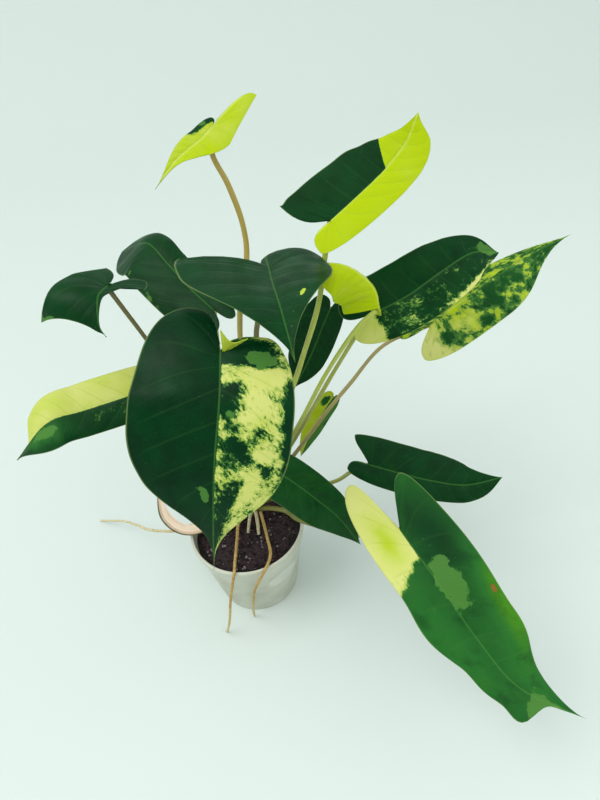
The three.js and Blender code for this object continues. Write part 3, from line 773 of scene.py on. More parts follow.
def new_material(name, **sockets):
    """A node material with its shader; the sockets are set on the shader itself."""
    material = bpy.data.materials.new(name)
    material.use_nodes = True
    tree = material.node_tree
    shader = tree.nodes["Principled BSDF"]
    for key, value in sockets.items():
        shader.inputs[key.replace("_", " ")].default_value = value
    return material, tree, shader


def set_relief(tree, shader, height, depth):
    """Bump from a height field, whose value 1 is a depth in millimetres."""
    bump = node(tree, "ShaderNodeBump", {"Height": height, "Distance": depth * MM, "Strength": 1.0})
    tree.links.new(bump.outputs[0], shader.inputs["Normal"])


def set_surface(tree, shader, colour, gloss, rough, height, depth):
    """Colour, roughness and relief; a noise moves the roughness between its two limits."""
    tree.links.new(colour, shader.inputs["Base Color"])
    tree.links.new(step(tree, gloss, 0.3, 0.7, *rough), shader.inputs["Roughness"])
    set_relief(tree, shader, height, depth)


print("materials before the first one", len(bpy.data.materials))

# %% [markdown]
# Variegation is tissue without its green. It runs in streaks along the side veins, ends in
# ragged edges and scatters flecks. It could be painted by hand as an image, but a formula
# has no resolution and can be changed with a number. The mesh carries how pale, marbled and
# flecked each place is, and noises that are stretched along the veins break that field up.

# %% Pale field of a leaf
def leaf_field(tree, lane, flat, paint):
    """Pale field (above 0 is pale), the same over its strength, and the noise of its patches.

    field = pale + coarse noise * (5 marble + 0.5) + fine noise * (7 fleck + 0.35)
    """
    pale, marble, fleck = paint[1]
    streak = pattern(tree, lane[0], [24.0, 3.2, 1.0], 4.0, 0.6)
    blot = pattern(tree, flat[0], [0.085, 0.085, 0.0], 5.0, 0.6)
    grain = pattern(tree, lane[0], [95.0, 17.0, 1.0], 3.0, 0.7)
    coarse = calc(tree, "MULTIPLY_ADD", streak, 1.6, calc(tree, "MULTIPLY", blot, 0.7))
    coarse = calc(tree, "SUBTRACT", coarse, 1.15)
    field = calc(tree, "MULTIPLY_ADD", coarse, calc(tree, "MULTIPLY_ADD", marble, 5.0, 0.5), pale)
    fine = calc(tree, "MULTIPLY", calc(tree, "SUBTRACT", grain, 0.5),
                calc(tree, "MULTIPLY_ADD", fleck, 7.0, 0.35))
    total = calc(tree, "ADD", field, fine)
    return total, calc(tree, "DIVIDE", total, calc(tree, "MULTIPLY_ADD", marble, 5.0, 0.6)), blot


def vein_lines(tree, lane, flat):
    """Midrib, side veins and fine veins, each 1 on its line, and the share toward the margin.

    A side vein is where rank * veins - bend * share^2 is a whole number.
    """
    across = calc(tree, "ABSOLUTE", flat[1][1])
    share = calc(tree, "ABSOLUTE", lane[1][1])
    midrib = step(tree, across, 0.4, 1.0, 1.0, 0.0)
    bent = calc(tree, "MULTIPLY_ADD", calc(tree, "MULTIPLY", share, share), -VEIN_BEND,
                calc(tree, "MULTIPLY", lane[1][0], float(SIDE_VEINS)))
    saw = calc(tree, "ABSOLUTE", calc(tree, "SUBTRACT", calc(tree, "FRACT", bent), 0.5))
    side = step(tree, saw, 0.43, 0.5)
    fine_saw = calc(tree, "FRACT", calc(tree, "MULTIPLY", bent, 5.0))
    fine = step(tree, calc(tree, "ABSOLUTE", calc(tree, "SUBTRACT", fine_saw, 0.5)), 0.3, 0.5)
    return midrib, calc(tree, "MULTIPLY", side, step(tree, share, 1.0, 0.6)), fine, share


print("side veins of a half", SIDE_VEINS)

# %% [markdown]
# The colours follow. Most leaves are a deep bottle green with darker clouds and fine grey
# dots, and some are a fresher green, with painted sunlight where that freshness passes 1.
# Pale tissue is lime in one leaf and cream in another.
# One flat colour for each would look like plastic, so every colour is a stack of thin
# stains, and a band of mid green lies between dark and pale, as it does in life.

# %% Leaf material
DEEP, DARK, BLACKISH, MOSS = "#002a10", "#003315", "#001f0e", "#2f6b1e"
FRESH, SUNLIT, MIDDLE, GREY_DOT, GREEN_RIB = "#246626", "#3f8018", "#4c8036", "#5a8a68", "#4f8c3a"
LIME, CREAM, LIME_EDGE, LIME_VEIN, LIME_RIB = "#a9c002", "#cbcf7a", "#86a43a", "#8fae2e", "#cbd770"
BROWN, MARGIN = "#8a5a2a", "#8fa862"


def green_tissue(tree, lane, flat, middle, cloud, blot):
    """Green: clouds of two darks, freshness (painted sunlight above 1), a mottle, fine dots, ragged mid
    green.
    """
    fresh_and_sunlit = flat[1][2]
    green = blend(tree, step(tree, cloud, 0.35, 0.65), rgb(DEEP), rgb(DARK))
    green = blend(tree, fresh_and_sunlit, green, rgb(FRESH))
    # Painted sunlight: a sunlit yellow-green laid over the green where the freshness runs from 1 to 2.
    green = stained(tree, green, SUNLIT, fresh_and_sunlit, 1.0, 2.0)
    mottle = pattern(tree, lane[0], [16.0, 2.0, 1.0], 3.0)
    lighter = calc(tree, "MULTIPLY", fresh_and_sunlit, step(tree, mottle, 0.5, 0.75, 0.0, 0.45))
    green = blend(tree, lighter, green, rgb(MOSS))
    green = stained(tree, green, BLACKISH, mottle, 0.5, 0.25, 0.4)
    dots = pattern(tree, flat[0], [0.7, 0.7, 0.0], 2.0, 0.7)
    green = stained(tree, green, GREY_DOT, dots, 0.66, 0.74, 0.3)
    return stained(tree, green, MIDDLE, shifted(tree, middle, blot, 1.6), 0.42, 0.56, 0.8)


def leaf_colour(tree, lane, flat, paint, tone):
    """Green below 0 of the pale field and light above it, with veins, rust and a pale margin."""
    field, depth, blot = leaf_field(tree, lane, flat, paint)
    midrib, side, fine, share = vein_lines(tree, lane, flat)
    middle, cream, brown = tone[1]
    cloud = pattern(tree, flat[0], [0.03, 0.04, 0.0], 3.0)
    green = green_tissue(tree, lane, flat, middle, cloud, blot)
    green = tinted(tree, green, MIDDLE, side, 0.06)
    green = tinted(tree, green, GREEN_RIB, midrib, 0.32)
    green = stained(tree, green, MIDDLE, depth, -0.24, -0.02, 0.8)
    light = stained(tree, rgb(LIME), CREAM, shifted(tree, cream, cloud, 0.8), 0.1, 0.9)
    light = tinted(tree, light, LIME_VEIN, side, 0.25)
    light = tinted(tree, light, LIME_RIB, midrib, 0.5)
    light = stained(tree, light, LIME_EDGE, depth, 0.3, 0.03, 0.7)
    colour = blend(tree, step(tree, field, -0.05, 0.05), green, light)
    colour = stained(tree, colour, BROWN, shifted(tree, brown, blot, 1.2), 0.45, 0.7, 0.85)
    return tinted(tree, colour, MARGIN, step(tree, share, 0.975, 0.99), 0.35), midrib, side, fine


def leaf_material(name):
    """Waxy leaf: variegated colour, veins in relief and a broken sheen."""
    material, tree, shader = new_material(name, Roughness=0.4, Specular_IOR_Level=0.1)
    lane, flat, paint, tone = (attribute(tree, key) for key in ("lane", "flat", "paint", "tone"))
    colour, midrib, side, fine = leaf_colour(tree, lane, flat, paint, tone)
    grain = pattern(tree, flat[0], [1.3, 1.3, 0.0], 3.0)
    sheen = pattern(tree, flat[0], [0.05, 0.07, 0.0])
    height = calc(tree, "MULTIPLY_ADD", grain, 0.25, calc(tree, "MULTIPLY", fine, 0.35))
    height = calc(tree, "MULTIPLY_ADD", side, -1.1, height)
    height = calc(tree, "MULTIPLY_ADD", midrib, -0.5, height)
    set_surface(tree, shader, colour, sheen, (0.34, 0.5), height, 0.12)
    return material


LEAF_SKINS = {name: leaf_material(name) for name in ("leaf_green", "leaf_marbled", "leaf_lime")}
print("leaf materials", list(LEAF_SKINS))

# %% [markdown]
# No two leaves of such a plant are marked alike, so each has its own short recipe. A half
# starts from three numbers: how pale it is (above 0 is pale), how strongly it is marbled,
# and how many flecks it has. A band sets the border of a pale block: its x at the rib, how
# far that moves toward the margin, its softness, its amount and its half. A patch adds an
# amount to a field round a place: x along the rib, y across (+ is the right half), and two
# reaches. Painted images could do the same, but they couldn't be read or corrected.

# %% Markings of the leaves in front and on the right
PAINT = {
    "front": dict(right=(-1.2, 0, 0.02), left=(0.33, 0.19, 0.2), cream=0.7, fresh_and_sunlit=0, patches=[
        ("pale", 0.0, -0.3, 0.06, 0.5, -1.9), ("pale", 0.05, -0.6, 0.05, 0.22, -1.3),
        ("middle", 0.05, -0.6, 0.05, 0.2, 1.3), ("pale", 0.14, -0.7, 0.04, 0.3, 0.5),
        ("pale", 0.2, -0.15, 0.035, 0.14, -1.7), ("pale", 0.29, -0.12, 0.035, 0.14, -1.6),
        ("middle", 0.3, -0.15, 0.03, 0.1, 0.6), ("pale", 0.24, -0.5, 0.08, 0.2, 0.4),
        ("pale", 0.36, -0.25, 0.025, 0.2, -0.6), ("pale", 0.37, -0.55, 0.03, 0.1, -0.8),
        ("pale", 0.43, -0.25, 0.03, 0.22, -1.3), ("pale", 0.25, -0.95, 0.11, 0.14, -1.2),
        ("pale", 0.42, -1.0, 0.16, 0.1, -1.7), ("pale", 0.5, -0.35, 0.05, 0.3, -0.6),
        ("pale", 0.55, -0.75, 0.06, 0.1, -0.9), ("pale", 0.69, -0.33, 0.09, 0.3, -1.1),
        ("pale", 0.46, -0.7, 0.05, 0.14, 0.8), ("pale", 0.62, -0.62, 0.07, 0.12, 0.9),
        ("fleck", 0.5, -0.5, 0.3, 0.5, 0.06), ("middle", 0.66, 0.22, 0.05, 0.12, 1.0),
        ("pale", 0.85, -0.3, 0.08, 0.4, -1.1), ("pale", 0.97, -0.45, 0.1, 0.4, -1.6),
        ("middle", 0.95, -0.9, 0.12, 0.3, 0.8)]),
    # Freshness patches here pass 1, so this leaf carries painted sunlight beside its fresher green.
    "low_right": dict(right=(-1.1, 0.02, 0.03), left=(-1.1, 0.03, 0.02), cream=0.8, fresh_and_sunlit=0.75, bands=[
        ("pale", 0.13, 0.09, 0.025, 2.0, 1)], patches=[("cream", 0.02, 0.5, 0.12, 0.3, -0.45),
        ("middle", 0.45, 0.5, 0.2, 0.7, 0.2), ("fresh_and_sunlit", 0.5, -0.9, 0.22, 0.35, 0.5),
        ("fresh_and_sunlit", 0.1, -0.5, 0.25, 0.6, -0.7), ("fresh_and_sunlit", 0.45, -0.95, 0.2, 0.28, 0.9),
        ("fresh_and_sunlit", 0.45, 0.75, 0.2, 0.5, 0.35), ("fresh_and_sunlit", 0.75, -0.6, 0.15, 0.4, 0.35),
        ("middle", 0.27, -0.2, 0.12, 0.26, 1.0), ("fleck", 0.02, -0.3, 0.22, 0.5, 0.12),
        ("fleck", 0.17, 0.5, 0.06, 0.7, 0.12), ("marble", 0.17, 0.5, 0.08, 0.7, 0.3),
        ("pale", 0.02, -0.35, 0.22, 0.5, 0.7), ("middle", 0.86, 0.35, 0.07, 0.6, 1.5),
        ("cream", 0.88, 0.3, 0.2, 0.8, 0.3), ("pale", 0.9, 0.3, 0.07, 0.5, 0.9),
        ("marble", 0.88, 0.3, 0.1, 0.6, 0.2), ("brown", 0.4, -0.86, 0.018, 0.06, 1.2)]),
    "crown_right": dict(right=(1.0, 0, 0.02), left=(-1.0, 0.02, 0.03), cream=0.1, bands=[
        ("pale", 0.5, 0.14, -0.02, 2.0, -1)], patches=[]),
    "right_upper": dict(right=(-0.44, 0.14, 0.12), left=(-1.2, 0.0, 0.02), cream=0.6, bands=[
        ("pale", 0.0, 0.0, 0.03, 1.6, 1)], patches=[("middle", 0.93, -0.2, 0.13, 0.5, 1.3),
        ("pale", 0.66, 0.98, 0.2, 0.12, 1.2), ("cream", 0.6, 0.9, 0.4, 0.3, 0.4),
        ("pale", 0.2, 0.5, 0.25, 0.5, 0.16), ("middle", 0.45, 0.5, 0.3, 0.4, 0.3)]),
    "right_marbled": dict(right=(-0.12, 0.26, 0.02), left=(-0.05, 0.26, 0.02), cream=0.25, fresh_and_sunlit=0.35,
        bands=[("pale", 0.02, 0.0, 0.05, 0.9, 1)], patches=[("middle", 0.5, 0.2, 0.5, 0.6, 0.3),
        ("cream", -0.1, 0.7, 0.25, 0.6, 0.6), ("pale", 0.04, 0.55, 0.06, 0.2, -0.9),
        ("pale", 0.85, 0.4, 0.14, 0.6, -0.5), ("pale", 0.45, 0.25, 0.12, 0.3, -0.5),
        ("pale", 0.18, 0.4, 0.1, 0.5, 0.5)]),
}
print("patches of the front leaf", len(PAINT["front"]["patches"]))

# %% [markdown]
# The leaves in the middle and on the left have fewer markings: three are nearly dark all
# over, one is split into cream and green along its rib, and the topmost is lime with green.

# %% Markings of the leaves in the middle and on the left
PAINT |= {
    "centre": dict(right=(-1.1, 0, 0.03), left=(-1.1, 0.02, 0.06), cream=0.3, patches=[
        ("pale", 0.5, -0.62, 0.03, 0.06, 1.8), ("fleck", 0.6, -0.6, 0.2, 0.3, 0.12),
        ("pale", 0.62, -0.6, 0.2, 0.25, 0.62), ("middle", 0.6, -0.5, 0.25, 0.25, 0.4)]),
    "left_back": dict(right=(-1.2, 0, 0.01), left=(-1.2, 0, 0.02), cream=0.3, patches=[
        ("middle", 0.5, -0.95, 0.6, 0.2, 0.45)]),
    "left_claw": dict(right=(-1.2, 0, 0.01), left=(-1.2, 0, 0.01), cream=0.2, patches=[
        ("middle", 0.47, 1.0, 0.05, 0.1, 1.3)]),
    "left_cream": dict(right=(0.9, 0.03, 0.03), left=(-0.9, 0.1, 0.14), cream=0.6, fresh_and_sunlit=0.1, patches=[
        ("pale", 0.35, -0.35, 0.2, 0.35, 0.6), ("middle", 0.78, -0.3, 0.1, 0.3, 0.9),
        ("fresh_and_sunlit", 0.8, -0.4, 0.15, 0.4, 0.9)]),
    "crown_left": dict(right=(0.7, 0.05, 0.04), left=(0.95, 0, 0.02), cream=0.25, patches=[
        ("pale", 0.0, 1.0, 0.35, 0.5, -2.2), ("middle", 0.0, 0.8, 0.3, 0.3, 0.4)]),
}
print("painted leaves so far", len(PAINT))

# %% [markdown]
# The folded leaf is lime all over, and one low leaf is lime in one half. The others here
# are green, so they need next to no patches.

# %% Markings of the folded and shaded leaves
PAINT |= {
    "hood": dict(right=(1.0, 0, 0.01), left=(1.0, 0.02, 0.01), cream=0.15, patches=[
        ("brown", 0.1, 0.4, 0.05, 0.2, 0.8)]),
    "back_shade": dict(right=(-1.2, 0, 0.01), left=(-1.2, 0, 0.02), cream=0.2, patches=[]),
    "low_lime": dict(right=(0.7, 0.04, 0.05), left=(-0.5, 0.06, 0.06), cream=0.3, fresh_and_sunlit=0.6, patches=[
        ("middle", 0.5, -0.5, 0.8, 0.6, 0.9), ("pale", 0.1, 0.4, 0.12, 0.3, -1.6)]),
    "low_front": dict(right=(-1.2, 0, 0.01), left=(-1.2, 0, 0.01), cream=0.2, fresh_and_sunlit=0.3, patches=[]),
    "arrow": dict(right=(-1.1, 0.01, 0.08), left=(-1.2, 0, 0.02), cream=0.3, patches=[
        ("fleck", 0.05, 0.5, 0.25, 0.5, 0.08), ("pale", 0.05, 0.5, 0.25, 0.5, 0.7)]),
}
print("painted leaves", len(PAINT))

# %% [markdown]
# The recipes become numbers at the points of a mesh. A texture in the material could work
# them out too, but that would need a node for every patch. Attributes are computed once and
# stay sharp enough, because the sheet of a blade has a point every two or three millimetres.

# %% Fields of a blade
FIELDS = ("pale", "marble", "fleck", "middle", "cream", "brown", "fresh_and_sunlit")
USUAL_FRESH = 0.1


def paint_fields(spec, lane, flat, length):
    """The fields of a blade at its points, from its halves, bands and patches.

    A patch adds amount * exp(-(dx / reach x)^2 - (dy / reach y)^2), and a band adds its
    amount on one side of a line, with a soft edge given by tanh.
    """
    x, y = flat[:, 0] / length, lane[:, 1]
    weight = np.clip(0.5 + y * COLUMNS, 0, 1)
    total = {key: np.zeros(len(y)) for key in FIELDS}
    for k, key in enumerate(FIELDS[:3]):
        total[key] = spec["left"][k] + (spec["right"][k] - spec["left"][k]) * weight
    total["cream"] += spec["cream"]
    # Freshness from 0 to 1 is a fresher green tone, and from 1 to 2 it lays painted sunlight.
    total["fresh_and_sunlit"] += spec.get("fresh_and_sunlit", USUAL_FRESH)
    for key, start, slope, soft, amount, half in spec.get("bands", []):
        ahead = 0.5 + 0.5 * np.tanh((start + slope * np.abs(y) - x) / soft)
        total[key] += amount * ahead * np.clip(half * y * COLUMNS, 0, 1)
    for key, patch_x, patch_y, reach_x, reach_y, amount in spec["patches"]:
        total[key] += amount * np.exp(-((x - patch_x) / reach_x) ** 2 - ((y - patch_y) / reach_y) ** 2)
    stacks = [np.stack([total[k] for k in keys], -1) for keys in (FIELDS[:3], FIELDS[3:6])]
    return stacks[0], stacks[1], total["fresh_and_sunlit"].clip(0, 2)


print("fields", FIELDS)

# %% [markdown]
# Now each blade is made and takes the place of its CAD solid. Its attributes are the same
# on both faces, because the markings go right through a leaf. Each leaf has its own seed,
# which moves the noises, so that no two leaves repeat a pattern.

# %% Blades
MARBLED = ("front", "low_right", "right_upper", "right_marbled", "left_cream")
LIMES = ("crown_right", "crown_left", "hood", "low_lime")
SLOTS = {**dict.fromkeys(LEAVES, "leaf_green"), **dict.fromkeys(MARBLED, "leaf_marbled"),
         **dict.fromkeys(LIMES, "leaf_lime")}
NOISE_SHIFT = 37.0
BLADE_SMOOTH = 60


def build_blade(name, leaf, seed):
    """One leaf blade with its attributes, in place of the CAD solid."""
    points, faces, lane, flat = blade_sheet(leaf)
    paint, tone, fresh_and_sunlit = paint_fields(PAINT[name], lane, flat, rib_length(leaf))
    closed, triangles = thicken(points, faces, lane, flat, seed)
    flat_mm = flat * [1, 1, 0] + [NOISE_SHIFT * seed, 0, 0]
    # The third number of the flat field is the freshness, whose part above 1 is painted sunlight.
    flat_mm[:, 2] = fresh_and_sunlit
    fields = both_faces({"lane": lane + [0, 0, seed], "flat": flat_mm, "paint": paint, "tone": tone})
    slot = SLOTS[name]
    blade = make_piece(f"leaf_{name}", closed, triangles, LEAF_SKINS[slot], slot, fields, BLADE_SMOOTH)
    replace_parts(blade, f"blade_{name}")
    return len(triangles)


counts = {name: build_blade(name, leaf, seed + 1) for seed, (name, leaf) in enumerate(LEAVES.items())}
print("blade triangles", counts)

# %% [markdown]
# The front leaf has a small lime flap in its notch, a folded bit of its basal lobe. Folding
# the blade's own sheet that far would crease it, so the flap is a sheet of its own: a
# three-cornered surface that bulges toward the viewer and starts behind the notch.

# %% Flap
FLAP_ROOT, FLAP_TOP, FLAP_SIDE = [27.6, -70, 398.6], [29.5, -70, 418.5], [47, -69, 407.5]
FLAP_BULGE = 5
FLAP_HOLLOW = 0.2
FLAP_PAINT, FLAP_TONE = [1.0, 0.02, 0.02], [0.0, 0.35, 0.0]
FLAP_SEED, FLAP_WAVE = 9, 0.2


def build_flap():
    """root + u * (way to a place v of the far edge), bulged by sin(180 degrees * v) * u^1.5."""
    root, top, side = (np.array(p, float) for p in (FLAP_ROOT, FLAP_TOP, FLAP_SIDE))
    u, v = np.meshgrid(np.linspace(0.05, 1, 24), np.linspace(0, 1, 30), indexing="ij")
    edge = (1 - v)[..., None] * (top - root) + v[..., None] * (side - root)
    dip = 1 - FLAP_HOLLOW * np.sin(np.pi * v)
    points = root + u[..., None] * edge * dip[..., None]
    points[..., 1] -= FLAP_BULGE * np.sin(np.pi * v) * u ** 1.5
    faces = grid_triangles(np.arange(u.size).reshape(u.shape))
    lane = np.stack([0.3 + 0.2 * v, 0.2 + 0.7 * u, 0.5 + 0 * u], -1).reshape(-1, 3)
    flat = np.stack([20 * v, 4 + 20 * u, 0 * u], -1).reshape(-1, 3)
    closed, triangles = thicken(points.reshape(-1, 3), faces, lane, flat, FLAP_SEED, FLAP_WAVE)
    paint, tone = (np.tile(values, (u.size, 1)) for values in (FLAP_PAINT, FLAP_TONE))
    fields = both_faces({"lane": lane, "flat": flat, "paint": paint, "tone": tone})
    skin = LEAF_SKINS["leaf_lime"]
    return make_piece("flap_front", closed, triangles, skin, "leaf_lime", fields, BLADE_SMOOTH)


print("flap triangles", len(build_flap().data.polygons))

# %% [markdown]
# A stalk is smooth and waxy, browner where it is old, with fine grooves along it and small
# corky specks. A plain green would look moulded. So the colour goes from base to tip, and
# noises that are stretched along the stalk draw the grooves and the specks.

# %% Stalk material
def stalk_material(name, base, tip, speck):
    """Green stalk: colour along it, fine grooves, specks and a soft sheen."""
    material, tree, shader = new_material(name, Roughness=0.42)
    lane, parts = attribute(tree, "lane")
    cloud = pattern(tree, lane, [6.0, 3.0, 0.03], 3.0)
    colour = stained(tree, rgb(base), tip, shifted(tree, parts[0], cloud, 0.9), 0.1, 0.95)
    groove = pattern(tree, lane, [0.0, 30.0, 0.02])
    colour = stained(tree, colour, speck, groove, 0.45, 0.75, 0.3)
    dots = pattern(tree, lane, [0.0, 9.0, 0.55])
    colour = stained(tree, colour, speck, dots, 0.66, 0.72, 0.6)
    height = calc(tree, "MULTIPLY_ADD", dots, 0.4, groove)
    set_surface(tree, shader, colour, cloud, (0.36, 0.55), height, 0.15)
    return material


STALKS = {
    "olive": stalk_material("stalk_olive", "#77793a", "#a3ab52", "#5b5a2c"),
    "lime": stalk_material("stalk_lime", "#8f9544", "#b7c552", "#6e7434"),
    "ochre": stalk_material("stalk_ochre", "#a3a344", "#b39c4c", "#94803a"),
    "tan": stalk_material("stalk_tan", "#8a7f4a", "#a89c60", "#5e5230"),
    "brown": stalk_material("stalk_brown", "#6a5a34", "#6f6a3c", "#43371f"),
}
STALK_TINT = {
    "front": "olive", "low_right": "olive", "crown_right": "lime", "right_upper": "olive",
    "right_marbled": "tan", "centre": "brown", "left_back": "olive", "left_claw": "brown",
    "left_cream": "olive", "crown_left": "ochre", "hood": "lime", "back_shade": "olive",
    "low_lime": "tan", "low_front": "olive", "arrow": "olive",
}
print("stalk materials", list(STALKS))

# %% [markdown]
# Each stalk clasps the cane with a flared base, rises along its own path and ends in the
# notch of its blade. Fifteen curves could be placed by eye, but then a stalk would miss its
# blade whenever a leaf is moved. So the base is worked out from a height and a turn round
# the cane, the end from the blade's own rib, and only the points between are chosen.

# %% Stalks
GAP = 0.3
CANE_BASE, CANE_TOP = [7, 27, 62], [10, 23, 150]
CANE_BASE_RADIUS, CANE_TOP_RADIUS = 9, 7
CLASP = 13
CLASP_FLARE, CLASP_REACH = 2.0, 20
KNEE_SWELL, KNEE_REACH = 0.35, 9
STALK_GROOVE, STALK_GROOVE_SPREAD = 0.22, 0.08
TWIST_HEIGHT, TWIST_PITCH = 0.07, 9
START_DEPTH = 0.45
SIDE_GAP = 1.3 * GAP
STALK_SIDES, STALK_STEPS = 20, 150


def cane_axis(z):
    """Point of the cane's axis at a height, and its radius there, both in a straight line."""
    share = (z - CANE_BASE[2]) / (CANE_TOP[2] - CANE_BASE[2])
    point = np.array(CANE_BASE) + share * (np.array(CANE_TOP, float) - CANE_BASE)
    return point, CANE_BASE_RADIUS + share * (CANE_TOP_RADIUS - CANE_BASE_RADIUS)


def stalk_path(leaf):
    """Path of a stalk: inside the cane, beside it, over the chosen points, under the notch."""
    stalk = leaf["stalk"]
    path, radius = np.array(stalk["path"], float), stalk["radius"]
    base, cane_radius = cane_axis(stalk["height"])
    start = cane_axis(stalk["height"] - CLASP)[0]
    if stalk["turn"] != "top":
        turn = math.radians(stalk["turn"])
        way = np.array([math.cos(turn), math.sin(turn), 0])
        base = base + way * (cane_radius + SIDE_GAP)
        base = base + way * radius[0] * unit(path[0] - base)[2]
        start = start + way * START_DEPTH * cane_radius
    up = rib_frames(leaf, np.zeros(1))[2][0]
    last = path[-1] - up * stalk.get("tuck", 0)
    slant = np.dot(unit(np.array(leaf["rib"][0]) - last), up)
    clear = BLADE_THICKNESS / 2 + GAP + stalk.get("drop", 0) + radius[1] * math.sqrt(1 - slant ** 2)
    end = np.array(stalk.get("end", np.array(leaf["rib"][0]) - up * clear))
    return np.vstack([start, base, path[:-1], last, end])


def stalk_bumps(share, turn, length):
    """Bells of the distance at the base and below the blade, less a groove, plus a slow twist."""
    clasp = CLASP_FLARE * np.exp(-(share * length / CLASP_REACH) ** 2)
    knee = KNEE_SWELL * np.exp(-((1 - share) * length / KNEE_REACH) ** 2)
    groove = -STALK_GROOVE * np.exp(-(np.cos(turn) - 1) ** 2 / STALK_GROOVE_SPREAD)
    return clasp + knee + groove + TWIST_HEIGHT * np.sin(share * length / TWIST_PITCH + 2 * turn)


def build_stalk(name, leaf):
    """One stalk in place of the CAD tube."""
    radius, skin = leaf["stalk"]["radius"], STALKS[STALK_TINT[name]]
    points, facets, lanes = tube(stalk_path(leaf), radius, STALK_SIDES, STALK_STEPS, stalk_bumps)
    stalk = make_piece(f"petiole_{name}", points, facets, skin, "stalk", lanes)
    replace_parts(stalk, f"stalk_{name}")
    return len(facets)


print("stalk triangles", sum(build_stalk(name, leaf) for name, leaf in LEAVES.items()))

# %% [markdown]
# Cane and roots have a corky skin: rings around, cracks along, and paler new growth. A
# bark photograph would repeat and blur close up. Noises on the tube's own coordinates, its
# share, its turn and its run in millimetres, follow every bend without a seam along it.

# %% Bark
NEW_ROOT = "#d6cd9e"


def bark_material(name, light, dark, rings, fade=0.0):
    """Cork and bark: rings around, cracks along and a dull surface."""
    material, tree, shader = new_material(name, Roughness=0.7)
    lane, parts = attribute(tree, "lane")
    cloud = pattern(tree, lane, [0.0, 5.0, 0.09], 4.0, 0.6)
    crack = pattern(tree, lane, [0.0, 22.0, 0.05], 3.0)
    ring = pattern(tree, lane, [0.0, 1.0, rings])
    mixed = calc(tree, "ADD", calc(tree, "MULTIPLY", cloud, 0.6), calc(tree, "MULTIPLY", ring, 0.4))
    colour = stained(tree, rgb(dark), light, mixed, 0.36, 0.62)
    colour = stained(tree, colour, dark, crack, 0.55, 0.72, 0.5)
    colour = stained(tree, colour, NEW_ROOT, parts[0], 0.55, 1.0, fade)
    height = calc(tree, "MULTIPLY_ADD", ring, 0.7, crack)
    set_surface(tree, shader, colour, crack, (0.55, 0.85), height, 0.35)
    return material


cane_skin = bark_material("cane_bark", "#8f9150", "#4f4a2a", 0.35)
stub_skin = bark_material("stub_bark", "#cfcaa6", "#98926e", 0.5)
root_skin = bark_material("root_cork", "#c4a763", "#94773b", 0.7, 0.6)
pale_root_skin = bark_material("root_pale", "#dcd2ac", "#b39f6c", 0.7)
print("barks", [skin.name for skin in (cane_skin, stub_skin, root_skin, pale_root_skin)])

# %% [markdown]
# The cane is short and woody, with ring scars where old leaves stood. Two old roots leave it
# and end on the soil, and three long aerial roots hang over the rim to the floor. All are
# tubes along listed points, because a root grows round what is in its way, and no
# formula knows the rim it has to clear.

# %% Cane and roots
CANE_STUBS = [
    ([[7, 22, 108], [3, 6, 104], [0, -6, 96.4]], 2.4),
    ([[10, 21, 107], [12, 4, 103], [12, -10, 96.2]], 2.6),
]
ROOTS = {
    "root_front_left": [[-0.5, 14.5, 106], [-9, 3, 105.5], [-11, -20, 106.5], [-13, -48, 108.5],
                        [-14.5, -64.5, 107.6], [-18, -70.5, 98], [-24, -75, 75], [-31, -77, 40],
                        [-38, -74, 12], [-41, -70, 1.6]],
    "root_front_right": [[16.5, 13, 107], [18, 5, 105], [22, -20, 105], [25, -45, 107.5],
                         [19, -62.5, 108], [10, -70.5, 98], [2, -69, 76], [-4, -66, 42],
                         [-7, -60, 16], [-8, -55, 1.6]],
    "root_left": [[-3.5, 22, 103], [-25, 12, 105], [-50, 8, 107], [-64, 6, 107.6], [-82, 5, 103],
                  [-119, 30, 78], [-147, 60, 53], [-176, 90, 27], [-218, 116, 2]],
}
ROOT_RADIUS = (1.9, 1.3)
STUB_TAPER = 0.7
SCARS, SCAR_HEIGHT, SCAR_WIDTH = 7, 0.5, 0.08
BARK_WAVE, CORK_WAVE, WART_PITCH = 0.2, 0.16, 5
FLOOR_CLEARANCE = 0.05


def cane_bumps(share, turn, length):
    """Ring scars, closer toward the top: bells round whole numbers of share^1.3 * scars, and waves."""
    place = share ** 1.3 * SCARS
    scar = SCAR_HEIGHT * np.exp(-((place - np.round(place)) / SCAR_WIDTH) ** 2)
    return scar - SCAR_HEIGHT / 2 + BARK_WAVE * waves(share * 14, np.cos(turn) * 2 + np.sin(turn), 5)


def root_bumps(share, turn, length):
    """Uneven cork: waves along and around the root."""
    return CORK_WAVE * waves(share * length / WART_PITCH, np.cos(turn) * 1.4 + np.sin(turn), 7) - 0.03


def join(parts):
    """Points, facets and lanes of several closed shells as one mesh."""
    starts = np.cumsum([0] + [len(p[0]) for p in parts[:-1]])
    return (np.vstack([p[0] for p in parts]), np.concatenate([p[1] + s for p, s in zip(parts, starts)]),
            {"lane": np.vstack([p[2]["lane"] for p in parts])})


points, facets, lanes = tube([CANE_BASE, CANE_TOP], (CANE_BASE_RADIUS, CANE_TOP_RADIUS), 48, 220, cane_bumps)
stem = make_piece("stem", points, facets, cane_skin, "cane", lanes)
points, facets, lanes = join([tube(path, (r, STUB_TAPER * r), 16, 40, root_bumps) for path, r in CANE_STUBS])
make_piece("stem_stubs", points, facets, stub_skin, "cane", lanes)
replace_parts(stem, "cane")
for name, path in ROOTS.items():
    points, facets, lanes = tube(path, ROOT_RADIUS, 18, 260, root_bumps)
    points[:, 2] = np.maximum(points[:, 2], FLOOR_CLEARANCE)
    skin = pale_root_skin if name == "root_left" else root_skin
    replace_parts(make_piece(f"aerial_{name}", points, facets, skin, "root", lanes), name)
print("roots", list(ROOTS))

